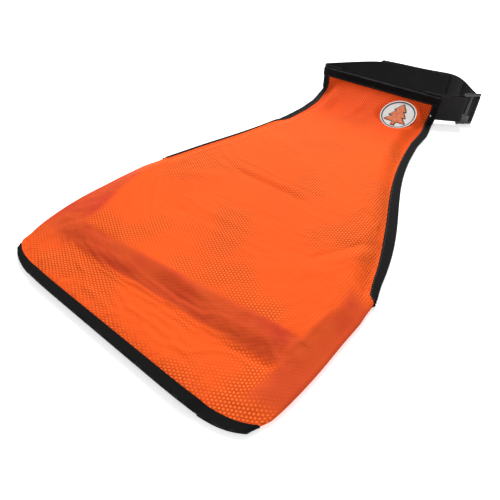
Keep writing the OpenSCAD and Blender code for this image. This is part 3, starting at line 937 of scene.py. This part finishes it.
def stitch_row(name, line, normals, lift, length=3.2, gap=1.3, radius=0.3):
    """A row of stitches along a line of points; STITCH_SHAPE holds share of length, thickness and sink."""
    steps = path_steps(line)
    points, faces = [], []
    sides = 6
    for s in np.arange(gap, steps[-1] - length, length + gap):
        here = np.array([[np.interp(s + t * length, steps, line[:, k]) for k in range(3)]
                         for t, _, _ in STITCH_SHAPE])
        up = np.array([np.interp(s + 0.5 * length, steps, normals[:, k]) for k in range(3)])
        up /= np.linalg.norm(up)
        along = here[-1] - here[0]
        along /= np.linalg.norm(along)
        across = np.cross(along, up)
        first = len(points)
        for p, (_, size, down) in zip(here, STITCH_SHAPE):
            centre = p + up * (lift - down * radius)
            points += [centre + size * radius * (math.cos(t) * across * 1.5 + math.sin(t) * up)
                       for t in turns(sides)]
        end = len(points) - sides
        faces += [tuple(first + k for k in f) for f in grid_faces(len(STITCH_SHAPE), sides, wrap=True)]
        faces += [tuple(range(first, first + sides))[::-1], tuple(range(end, end + sides))]
    obj = make_mesh(name, np.array(points), faces, np.zeros((len(points), 2)))
    obj.data.materials.append(BLACK_THREAD)
    fix_normals(obj)
    return obj


def join(main, others):
    """Joins the other objects into the first, each keeping its material."""
    with bpy.context.temp_override(active_object=main, selected_editable_objects=[main, *others],
                                   selected_objects=[main, *others], object=main):
        bpy.ops.object.join()
    return main


def tape_edge_values():
    """Where the tape's folds and borders are, round its ring."""
    front = np.zeros(len(TAPE_LINES))
    front[0] = front[-1] = 1
    return np.r_[front[::-1], np.ones(WRAP_STEPS), front, np.zeros(2 * (len(TAPE_LINES) - 1))]


def line_at(grid, normals, distance, lines=TAPE_LINES):
    """The line of points at one fabric distance, with its normals."""
    k = int(np.searchsorted(lines, distance))
    t = (distance - lines[k - 1]) / (lines[k] - lines[k - 1])
    return lerp(grid[:, k - 1], grid[:, k], t), lerp(normals[:, k - 1], normals[:, k], t)


def make_side_tape(side, name, nodes):
    grid = edge_grid(side, TAPE_LINES)[2:-2]
    rows_y = np.r_[Y_ROWS, np.full(NECK_ROWS, NECK_START_Y)][2:-2]
    share = np.array([ease(rolled(y, side) / (math.pi * ROLL_R)) for y in rows_y])
    below = lerp(EDGE_Z - 0.5, 1.2, share)
    standing = ease((grid[:, 0, 2] - 6) / 12)
    below = lerp(below, 3.6, standing)
    rings, n = tape_rings(grid, -side, below)
    obj = ring_mesh(name, rings, TAPE, tape_edge_values())
    line, up = line_at(grid, n, STITCH_LINE)
    first = int(np.argmax(rows_y > ROLL_ROWS[side][0] - 20))
    stitches = stitch_row(name + "_stitches", line[first:], up[first:], TAPE_OUT + 0.05)
    join(obj, [stitches])
    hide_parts(*nodes)
    bend_with_neck(obj)
    return obj


def make_hem_tape():
    """The tape along the hem, which turns under with the cloth at both corners."""
    ys = HEM_START + TAPE_LINES * HEM_SHARE
    columns = []
    for side in (-1, 1):
        lines = [fabric_lines(y, side) for y in ys]
        columns.append(np.array([section(y, side, a) for y, a in zip(ys, lines)]))
    grid = np.concatenate([columns[0][:, :-1], columns[1][:, ::-1]], axis=1).transpose(1, 0, 2)
    a = fabric_lines(ys[0], -1)
    far = np.r_[a[:-1], fabric_lines(ys[0], 1)[::-1]]
    left = np.arange(len(far)) < len(a) - 1
    share = np.where(left, lerp(CORNER_SHARE, 1.0, ease((far - ROLL_W + 18) / 80)), 1.0)
    for i, column in enumerate(grid.copy()):
        for k in range(3):
            grid[i, :, k] = np.interp(TAPE_LINES * share[i], TAPE_LINES, column[:, k])
    below = lerp(1.25, HEM_Z - 0.5, ease((far - ROLL_W - 50) / 16))
    rings, n = tape_rings(grid, 1, below)
    obj = ring_mesh("hem_tape", rings, TAPE, tape_edge_values())
    line, up = line_at(grid, n, STITCH_LINE)
    keep = far > ROLL_W + 2
    stitches = stitch_row("hem_stitches", line[keep], up[keep], TAPE_OUT + 0.05)
    join(obj, [stitches])
    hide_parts("hem_binding")
    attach(obj, PANEL)
    return obj


TOP_TAPE_H = 15.0


def make_top_tape():
    """The tape over the neck's top edge, both plies inside it."""
    back_y = PANEL_LEN + 2.9
    top_z = NECK_TOP - 1.6
    out = TAPE_OUT + 0.35
    last_rows = CLOTH[LIE_ROWS:]
    b_steps = [TOP_TAPE_H, TOP_TAPE_H - 0.8, 12, 9, 6, 3.0, 1.0, 0.0]
    columns_x = CLOTH[-1, :, 0]
    rings, line, ups = [], [], []
    for x in np.linspace(-NECK_W / 2 - NECK_LEAN, NECK_W / 2 - 0.2, 90):
        k = np.clip(np.searchsorted(columns_x, x), 1, len(columns_x) - 1)
        t = np.clip((x - columns_x[k - 1]) / (columns_x[k] - columns_x[k - 1]), 0, 1)
        column = lerp(last_rows[:, k - 1], last_rows[:, k], t)
        steps = path_steps(column)
        yz = np.array([[np.interp(steps[-1] - b, steps, column[:, m]) for m in (1, 2)] for b in b_steps])
        d = np.gradient(yz, axis=0)
        n = np.column_stack([-d[:, 1], d[:, 0]])
        n /= np.linalg.norm(n, axis=1, keepdims=True)
        front = yz + n * np.r_[out * 0.75, np.full(len(b_steps) - 1, out)][:, None]
        top_y = (yz[-1, 0] + back_y) / 2
        reach = (back_y - yz[-1, 0]) / 2 + out / 2
        wrap = [[top_y - out / 2 - reach * math.cos(t), top_z + 1.6 * math.sin(t)]
                for t in np.linspace(0.25, math.pi - 0.25, 7)]
        back = [[back_y, z] for z in np.linspace(top_z - 0.5, NECK_TOP - TOP_TAPE_H, 6)]
        inner_back = [[back_y - TAPE_T, z] for z in np.linspace(NECK_TOP - TOP_TAPE_H, top_z - 0.8, 4)]
        inner_front = (yz + n * 0.55)[::-1]
        ring = np.vstack([front, wrap, back, inner_back, inner_front])
        rings.append(np.column_stack([np.full(len(ring), x), ring]))
        line.append([x, *(yz[1] * 0.55 + yz[2] * 0.45)])
        ups.append([0, *n[1]])
    rings = np.array(rings)
    edge = np.zeros(rings.shape[1])
    edge[:1] = edge[len(b_steps) - 1:len(b_steps) + 7] = 1
    obj = ring_mesh("top_tape", rings, TAPE, edge)
    stitches = stitch_row("top_stitches", np.array(line), np.array(ups), TAPE_OUT + 0.4)
    join(obj, [stitches])
    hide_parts("top_binding")
    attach(obj, NECK)
    return obj


for side_sign, label in ((-1, "left"), (1, "right")):
    make_side_tape(side_sign, label + "_tape", (label + "_binding", f"neck_{label}_binding"))
make_hem_tape()
make_top_tape()

# ---- Protective layers ----
LAYER_Z0 = 4.7
LAYER_PITCH = 2.05
LAYER_T = 1.9
LAYER_INSET = {-1: 68.0, 1: 47.0}
LAYER_ENDS = (102.0, 572.0)
LAYER_STEP = 2.0


def make_layer(i):
    """One loose fibre ply of the padding, a little smaller than the one below, with a frayed soft outline."""
    step = LAYER_STEP * i
    ys = np.linspace(LAYER_ENDS[0] + step, LAYER_ENDS[1] - step, 60)
    shares = np.linspace(-1, 1, 41)
    top, bottom = [], []
    for y in ys:
        left_inset = lerp(44.0, LAYER_INSET[-1], ease((330 - y) / 120))
        inset = np.where(shares < 0, left_inset, LAYER_INSET[1]) + step
        fray = 1.1 * np.sin(y / 3.7 + 2.1 * i) * np.sin(y / 11.0)
        x = shares * (half_width(y) - inset + fray * (np.abs(shares) > 0.98)) + lie_shift(y)
        wave = 0.05 * np.sin(x / 9.0 + i) * np.sin(y / 13.0)
        z = LAYER_Z0 + i * LAYER_PITCH + wave
        thick = LAYER_T * (0.35 + 0.65 * ease((1 - np.abs(shares)) * 12))
        yy = np.full_like(x, y + 1.1 * math.sin(i + y) * (y == ys[0] or y == ys[-1]))
        bottom.append(np.column_stack([x, yy, z]))
        top.append(np.column_stack([x, yy, z + thick]))
    rows, cols = len(ys), len(shares)
    points = np.concatenate([np.array(top).reshape(-1, 3), np.array(bottom).reshape(-1, 3)])
    faces = grid_faces(rows, cols)
    base = rows * cols
    faces += [tuple(base + k for k in f)[::-1] for f in grid_faces(rows, cols)]
    for loop in ([k for k in range(cols)], [(rows - 1) * cols + k for k in range(cols)],
                 [k * cols for k in range(rows)], [k * cols + cols - 1 for k in range(rows)]):
        faces += [(p, q, q + base, p + base) for p, q in zip(loop, loop[1:])]
    obj = make_mesh(f"fibre_ply_{i + 1}", points, faces, points[:, :2] * MM)
    obj.data.materials.append(ARAMID)
    fix_normals(obj)
    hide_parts(f"protective_layer_{i + 1}")
    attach(obj, PANEL)
    return obj


for ply in [make_layer(i) for i in range(6)]:
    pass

# ---- The woven patch ----
PATCH_R = 34.0
RING_R = 31.2
TREE = 1.2
TREE_HALF = 21.0
TRUNK_HALF = 2.6
# foot, tip, half width at the foot, half width at the tip
TIERS = ((8.0, TREE_HALF, 9.4, 0.3), (-3.8, 8.0, 13.4, 4.8), (-14.3, -3.8, 17.2, 7.0))


def on_patch(dx, ds, height):
    """A point on the patch's seat, dx across and ds up the slope from its middle, lifted off the cloth."""
    sag = 0.0007 * (dx * dx + ds * ds)
    return PATCH_MID + np.array([dx, 0, 0]) + ds * PATCH_RISE + (height + 0.15 + sag) * PATCH_UP


def patch_disc(name, radius, bottom, top, material, rings=14, spokes=72):
    points = [on_patch(0, 0, top)]
    for k in range(1, rings + 1):
        points += [on_patch(x, y, top) for x, y in circle(radius * k / rings, spokes)]
    points += [on_patch(x, y, bottom) for x, y in circle(radius, spokes)]
    faces = [(0, 1 + q, 1 + (q + 1) % spokes) for q in range(spokes)]
    for k in range(rings):
        a, b = 1 + k * spokes, 1 + (k + 1) * spokes
        faces += [(a + q, b + q, b + (q + 1) % spokes, a + (q + 1) % spokes) for q in range(spokes)]
    last = 1 + rings * spokes
    faces.append(tuple(last + q for q in range(spokes))[::-1])
    points = np.array(points)
    obj = make_mesh(name, points, faces, (points[:, :2] - PATCH_AT) * MM)
    obj.data.materials.append(material)
    fix_normals(obj)
    return obj


def patch_cord(name, path, radius, height, material, lumps=0.0, closed=True):
    """A round thread along (dx, ds) points on the patch; lumps makes the wound look of an overlocked rim."""
    sides, count = 8, len(path)
    centres = np.array([on_patch(x, s, height) for x, s in path])
    up = np.array([on_patch(x, s, height + 1) for x, s in path]) - centres
    ahead = np.roll(centres, -1, axis=0) - np.roll(centres, 1, axis=0)
    if not closed:
        ahead[0], ahead[-1] = centres[1] - centres[0], centres[-1] - centres[-2]
    ahead /= np.linalg.norm(ahead, axis=1, keepdims=True)
    across = np.cross(ahead, up)
    rings = []
    for j in range(count):
        r = radius * (1 + lumps * (j % 2))
        rings.append([centres[j] + r * (math.cos(t) * across[j] + math.sin(t) * up[j])
                      + lumps * (q * 0.12) * ahead[j] for q, t in enumerate(turns(sides))])
    return skin(name, rings, material, closed=closed)


def circle(radius, count):
    return [(radius * math.cos(t), radius * math.sin(t)) for t in turns(count)]


def conifer_half_width(s):
    """Half width of the tree at a height s above the patch's middle: three tiers on a trunk."""
    s = s / TREE
    for foot, tip, wide, narrow in TIERS:
        if foot <= s <= tip:
            return TREE * lerp(wide, narrow, (s - foot) / (tip - foot))
    return TRUNK_HALF * TREE if -TREE_HALF <= s < TIERS[-1][0] else 0.0


def satin_fill(name, material, grow, height, pitch=0.62, radius=0.36):
    """Satin stitches laid side by side across the tree's shape."""
    rows = []
    end = TREE_HALF * TREE
    for s in np.arange(-end - grow, end + 1.6 * grow, pitch):
        w = conifer_half_width(s)
        if grow:
            near = (np.clip(s, 0.1 * TREE - end, end - 0.1 * TREE), s - grow * 0.9, s + grow * 0.9)
            w = max(conifer_half_width(t) for t in near) + grow
        if w > 0.4:
            path = [(x, s + 0.25 * math.sin(x * 0.9)) for x in np.linspace(-w, w, max(5, int(w)))]
            rows.append(patch_cord(f"{name}_{len(rows)}", path, radius, height, material, closed=False))
    return join(rows[0], rows[1:])


def make_patch():
    base = patch_disc("patch_cloth", PATCH_R - 1.6, 0.55, 1.25, PATCH)
    ring = patch_cord("patch_ring", circle(RING_R, 120), 0.8, 1.4, BLACK_THREAD)
    inner = patch_cord("patch_line", circle(RING_R - 1.1, 120), 0.6, 1.35, BLACK_THREAD)
    join(base, [ring, inner])
    rim = patch_cord("patch_edge", circle(PATCH_R - 1.1, 320), 1.2, 1.1, WHITE_THREAD, lumps=0.14)
    outline = satin_fill("tree_outline", BLACK_THREAD, 1.3, 1.35)
    tree = satin_fill("tree", ORANGE_THREAD, 0.0, 1.95)
    join(tree, [outline])
    for obj, node, slot in ((base, "patch_base", "patch_white"), (rim, "patch_rim", "patch_white"),
                            (tree, "patch_emblem", "patch_orange")):
        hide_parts(node)
        bend_with_neck(obj)


make_patch()

# ---- Belt ----
WEB_Z0 = 6.0
WEB_W = 50.0
WEB_T = 1.7
FAR_BAR = np.array([180.0, 747.0])
SLIDER_SPAN = 24.0
SLIDER_ANGLE = math.radians(38)
STRAP_ANGLE = math.radians(134)
BAR_R = 2.0
BAR_FLAT = 0.95
BAR_Z = (0.4, 61.6)
RAIL_Z = (1.0, 57.0)
RAIL_H = 4.6
TURN_R = 3.1
SEW_Y = PANEL_LEN + 4.6
STRAP_GAP = 4.4


def direction(angle):
    """Unit vector in plan."""
    return np.array([math.cos(angle), math.sin(angle)])


NEAR_BAR = FAR_BAR - SLIDER_SPAN * direction(SLIDER_ANGLE)


def smooth_path(points, steps=8):
    """A smooth path through given points."""
    p = np.array(points, float)
    p = np.vstack([p[0], p, p[-1]])
    out = []
    for i in range(1, len(p) - 2):
        a, b, c, d = p[i - 1:i + 3]
        for t in np.arange(steps) / steps:
            out.append(0.5 * (2 * b + (c - a) * t + (2 * a - 5 * b + 4 * c - d) * t ** 2
                              + (3 * b - a - 3 * c + d) * t ** 3))
    return np.array(out + [p[-1]])


def arc(centre, r, start, end, steps=14):
    return [np.array(centre) + r * direction(t) for t in np.linspace(start, end, steps + 1)]


def even_path(path, pitch=1.2):
    path = np.array(path)
    steps = path_steps(path)
    s = np.linspace(0, steps[-1], int(steps[-1] / pitch) + 2)
    return np.column_stack([np.interp(s, steps, path[:, k]) for k in (0, 1)])


def path_normals(path):
    d = np.gradient(path, axis=0)
    d /= np.linalg.norm(d, axis=1, keepdims=True)
    return np.column_stack([-d[:, 1], d[:, 0]])


def beside(path, distance):
    """The path moved to its left by a distance."""
    return path + path_normals(path) * distance


def ribbon(name, path, thickness, z0, height, material, round_ends=(0, 0), wave=0.0, seed=0.0, lift=0.0):
    """A strap standing on edge along a path in plan, with rounded selvedges and free ends."""
    path = even_path(path)
    normals = path_normals(path)
    steps = path_steps(path)
    half = thickness / 2
    levels = np.r_[0.0, 0.012, 0.035, np.linspace(0.1, 0.9, 9), 0.965, 0.988, 1.0]
    swell = np.r_[0.25, 0.8, 1.12, np.full(9, 1.0), 1.12, 0.8, 0.25]
    rings = []
    for j in range(len(path)):
        cut = 0.0
        for r, s in ((round_ends[0], steps[j]), (round_ends[1], steps[-1] - steps[j])):
            if r and s < r:
                cut = max(cut, r - math.sqrt(max(r * r - (r - s) ** 2, 0)))
        sway = wave * math.sin(steps[j] / 17.0 + seed)
        level_off = float(ease((LIFT_END - path[j][0]) / 24))
        rise = 0.35 * sway + lift * math.exp(-((path[j][0] - LIFT_AT) / LIFT_SPREAD) ** 2) * level_off
        zs = lerp(z0 + cut + rise, z0 + height - cut + rise, levels)
        lean = sway * np.sin(levels * math.pi) * 0.6
        faces_xy = [path[j] + np.outer(sign * swell * half + lean, normals[j]) for sign in (1, -1)]
        outer, inner = (np.column_stack([xy, zs]) for xy in faces_xy)
        rings.append(np.vstack([outer, inner[::-1]]))
    rings = np.array(rings)
    count, size = rings.shape[:2]
    uv = np.stack([np.repeat(steps[:, None], size, axis=1), rings[:, :, 2] - z0], axis=2)
    obj = skin(name, rings, material, uv.reshape(-1, 2) * MM)
    worn = np.r_[1, 1, 0.6, np.zeros(9), 0.6, 1, 1]
    value = np.tile(np.r_[worn, worn[::-1]], (count, 1))
    for r, row in ((round_ends[0], 0), (round_ends[1], -1)):
        if r:
            value[row] = 1
    add_value(obj, "edge", value.ravel())
    return obj


BELT_LIFT = 5.0  # the outer strap stands a little proud behind the slider
LIFT_AT = 118.0
LIFT_SPREAD = 33.0
LIFT_END = 168.0  # level again before it reaches the slider's rails
BACK_POINTS = [[-46, 806], [0, 811], [40, 814], [78, 816], [104, 811], [130, 799], [154, 779]]
BACK = smooth_path(BACK_POINTS, 6)
FAR_START = FAR_BAR + TURN_R * direction(STRAP_ANGLE - math.pi / 2)
RIGHT_PATH = [*BACK, FAR_START + 14 * direction(STRAP_ANGLE), FAR_START + 4 * direction(STRAP_ANGLE),
              *arc(FAR_BAR, TURN_R, STRAP_ANGLE - math.pi / 2, STRAP_ANGLE - 3 * math.pi / 2),
              FAR_BAR + TURN_R * direction(STRAP_ANGLE + math.pi / 2) + 13 * direction(STRAP_ANGLE),
              FAR_BAR + TURN_R * direction(STRAP_ANGLE + math.pi / 2) + 26 * direction(STRAP_ANGLE)]
UNDER_RIGHT = beside(BACK, -STRAP_GAP)
LEFT_PATH = [[-92, SEW_Y], [-108, SEW_Y], [-126, SEW_Y],
             *arc([-127.5, SEW_Y + 5], 5, math.radians(-95), math.radians(-215), 9),
             *smooth_path([[-113, 736], [-66, 779], [-38, 797], UNDER_RIGHT[7], UNDER_RIGHT[9]], 5),
             *UNDER_RIGHT[10:26]]
TAB_PATH = [[90, SEW_Y], [106, SEW_Y], [120.5, SEW_Y],
            *arc(NEAR_BAR, TURN_R, math.radians(-62), math.radians(118)),
            [117.5, SEW_Y + 2], [106, SEW_Y + 2], [92, SEW_Y + 2]]


def belt_piece(obj, node, body):
    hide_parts(node)
    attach(obj, body)
    return obj


def make_straps():
    webbing = (WEB_T, WEB_Z0, WEB_W, WEBBING)
    outer = ribbon("outer_belt", RIGHT_PATH, *webbing, (7, 0), 0.25, lift=BELT_LIFT)
    belt_piece(outer, "right_strap", STRAP)
    belt_piece(ribbon("inner_belt", LEFT_PATH, *webbing, (0, 9), 0.25, 1.0), "left_strap", NECK)
    belt_piece(ribbon("slider_tab", TAB_PATH, *webbing), "right_tab", NECK)
    loop = ribbon("loop_pile", beside(BACK, -1.45)[4:33], 1.1, WEB_Z0 + 2, WEB_W - 4, LOOP, (3, 3), 0.15,
                  lift=BELT_LIFT)
    belt_piece(loop, "loop_strip", STRAP)
    hook = ribbon("hook_face", beside(UNDER_RIGHT, 1.4)[11:25], 1.0, WEB_Z0 + 3, WEB_W - 6, HOOK, (3, 3))
    belt_piece(hook, "hook_strip", NECK)


make_straps()


def bartack(name, at, along, across, length, width=2.6):
    """A dense zigzag of thread across a strap, on its face."""
    passes = int(length / 0.75)
    path = np.array([np.array(at) + along * (-width / 2 if k % 2 else width / 2)
                     + np.array([0, 0, k / passes * length]) for k in range(passes + 1)])
    out = np.array([across[0], across[1], 0.0])
    rings = []
    for j, p in enumerate(path):
        ahead = path[min(j + 1, len(path) - 1)] - path[max(j - 1, 0)]
        side = np.cross(ahead / np.linalg.norm(ahead), out)
        rings.append([p + 0.36 * (math.cos(t) * side + math.sin(t) * out) for t in turns(6)])
    return skin(name, rings, BLACK_THREAD)


def tack_group(name, places, along, across, node, body):
    along3 = np.array([along[0], along[1], 0.0])
    made = [bartack(f"{name}_{k}", [p[0], p[1], WEB_Z0 + 5], along3, across, WEB_W - 10)
            for k, p in enumerate(places)]
    obj = join(made[0], made[1:])
    obj.name = name
    return belt_piece(obj, node, body)


FACE = WEB_T / 2 + 0.2
for label, places, y in (("left", (-96.7, -108.7), SEW_Y + FACE), ("right", (95.2, 105.2), SEW_Y + 2 + FACE)):
    tack_group(label + "_tacks", [(x, y) for x in places], (1, 0), (0, 1), label + "_bartacks", NECK)
STUB = FAR_BAR + (TURN_R + FACE) * direction(STRAP_ANGLE + math.pi / 2)
tack_group("fold_tacks", [STUB + s * direction(STRAP_ANGLE) for s in (13, 22)], direction(STRAP_ANGLE),
           direction(STRAP_ANGLE + math.pi / 2), "fold_bartacks", STRAP)


def bevelled(obj, width, segments=3):
    modifier = obj.modifiers.new("Bevel", "BEVEL")
    modifier.width = width * MM
    modifier.segments = segments
    modifier.limit_method = "ANGLE"
    modifier.angle_limit = math.radians(35)
    return bake_modifiers(obj)


def block(name, low, high):
    """A box between two corners given along and across the slider from its near bar."""
    turn, at = SLIDER_ANGLE, NEAR_BAR
    corners = [(x, y, z) for z in (low[2], high[2]) for y in (low[1], high[1]) for x in (low[0], high[0])]
    c, s = math.cos(turn), math.sin(turn)
    points = [(at[0] + x * c - y * s, at[1] + x * s + y * c, z) for x, y, z in corners]
    faces = [(0, 2, 3, 1), (4, 5, 7, 6), (0, 1, 5, 4), (1, 3, 7, 5), (3, 2, 6, 7), (2, 0, 4, 6)]
    obj = make_mesh(name, points, faces, np.zeros((8, 2)))
    obj.data.materials.append(ACETAL)
    return obj


def pillar(name, at, z0, z1):
    """An upright bar of the slider, a little flatter across it."""
    rings = []
    for z in (z0, z1):
        plan = [at + BAR_R * (math.cos(t) * direction(SLIDER_ANGLE)
                              + BAR_FLAT * math.sin(t) * direction(SLIDER_ANGLE + math.pi / 2))
                for t in turns(28)]
        rings.append([(x, y, z) for x, y in plan])
    return skin(name, rings, ACETAL)


def make_slider():
    """Moulded three-bar slider: bevelled rails with a parting ridge, a web near the foot and round bars."""
    parts = []
    for k, z in enumerate(RAIL_Z):
        rail = block(f"rail_{k}", (-3.4, -2.3, z), (SLIDER_SPAN + 3.4, 2.3, z + RAIL_H))
        parts.append(bevelled(rail, 1.1))
        ridge = block(f"ridge_{k}", (-3.55, -0.35, z + 0.6), (SLIDER_SPAN + 3.55, 0.35, z + RAIL_H - 0.6))
        parts.append(bevelled(ridge, 0.15, 2))
    parts.append(bevelled(block("gusset", (4.4, -2.1, 5.0), (SLIDER_SPAN - 4.4, 2.1, 19.0)), 0.8))
    for k, share in enumerate((0.0, 0.5, 1.0)):
        at = NEAR_BAR + share * SLIDER_SPAN * direction(SLIDER_ANGLE)
        parts.append(bevelled(pillar(f"bar_{k}", at, *BAR_Z), 0.7))
    obj = join(parts[0], parts[1:])
    obj.name = "slider_body"
    return belt_piece(obj, "slider", SLIDER)


RIVET_X, RIVET_Z = 114.0, 15.0


def make_rivet():
    """A domed tubular rivet with a washer: head in front, clenched head behind."""
    front = PANEL_LEN - 4.6
    back = SEW_Y + 2 + WEB_T / 2
    head = [(0, -1.5), (1.4, -1.45), (2.6, -1.15), (3.35, -0.65), (3.6, -0.15), (3.5, 0.1), (1.35, 0.1)]
    clench = [(1.35, 0.3), (3.3, 0.3), (3.45, 0.6), (3.1, 1.0), (2.2, 1.25), (1.6, 1.05), (0, 0.9)]
    profile = [(r, front + y) for r, y in head] + [(r, back + y) for r, y in clench]
    sides = 32
    points = [(RIVET_X + r * math.cos(t), y, RIVET_Z + r * math.sin(t)) for r, y in profile
              for t in turns(sides)]
    faces = grid_faces(len(profile), sides, wrap=True)
    obj = make_mesh("rivet", points, faces, np.zeros((len(points), 2)))
    obj.data.materials.append(NICKEL)
    fix_normals(obj, merge=True)
    return belt_piece(obj, "tab_rivet", NECK)


make_slider()
make_rivet()

# ---- Camera, light and floor ----
CAMERA_AT = (317.7, -153.3, 426.1)
CAMERA_TURN = math.radians(37.088)
CAMERA_DOWN = math.radians(44.0)
CAMERA_LENS = 31.68
WORLD_STRENGTH = 0.52
FLOOR_GLOW = 0.45


def add_camera():
    data = bpy.data.cameras.new("camera")
    data.sensor_width = 36.0
    data.lens = CAMERA_LENS
    data.clip_start, data.clip_end = 0.01, 50.0
    obj = bpy.data.objects.new("camera", data)
    bpy.context.collection.objects.link(obj)
    obj.location = to_frame(CAMERA_AT)
    forward = Vector((-math.sin(CAMERA_TURN) * math.cos(CAMERA_DOWN),
                      math.cos(CAMERA_TURN) * math.cos(CAMERA_DOWN), -math.sin(CAMERA_DOWN)))
    obj.rotation_euler = forward.to_track_quat("-Z", "Y").to_euler()
    bpy.context.scene.camera = obj


def add_light(name, at, towards, size, power, colour=(1, 1, 1)):
    data = bpy.data.lights.new(name, "AREA")
    data.size = size
    data.energy = power
    data.color = colour
    obj = bpy.data.objects.new(name, data)
    bpy.context.collection.objects.link(obj)
    obj.location = Vector(at)
    obj.rotation_euler = (Vector(towards) - Vector(at)).to_track_quat("-Z", "Y").to_euler()


def add_floor():
    """White paper, a little self-lit, so that it stays white in the picture."""
    mesh = bpy.data.meshes.new("floor")
    s = 6.0
    mesh.from_pydata([(-s, -s, 0), (s, -s, 0), (s, s, 0), (-s, s, 0)], [], [(0, 1, 2, 3)])
    obj = bpy.data.objects.new("floor", mesh)
    bpy.context.collection.objects.link(obj)
    obj.location.z = -0.0002
    n = Nodes("floor_paper", Roughness=0.9)
    n.shader.inputs["Base Color"].default_value = (0.93, 0.93, 0.93, 1)
    n.shader.inputs["Emission Color"].default_value = (1, 1, 1, 1)
    n.shader.inputs["Emission Strength"].default_value = FLOOR_GLOW
    mesh.materials.append(n.material)


def set_world():
    world = bpy.data.worlds.new("studio")
    world.use_nodes = True
    world.node_tree.nodes["Background"].inputs["Color"].default_value = (1, 1, 1, 1)
    world.node_tree.nodes["Background"].inputs["Strength"].default_value = WORLD_STRENGTH
    bpy.context.scene.world = world
    bpy.context.scene.view_settings.view_transform = "Standard"


add_camera()
add_floor()
set_world()
add_light("key", (-0.9, 1.6, 2.0), (0, 0, 0), 1.0, 84)
add_light("fill", (1.2, -1.4, 1.6), (0, 0, 0), 1.8, 7)
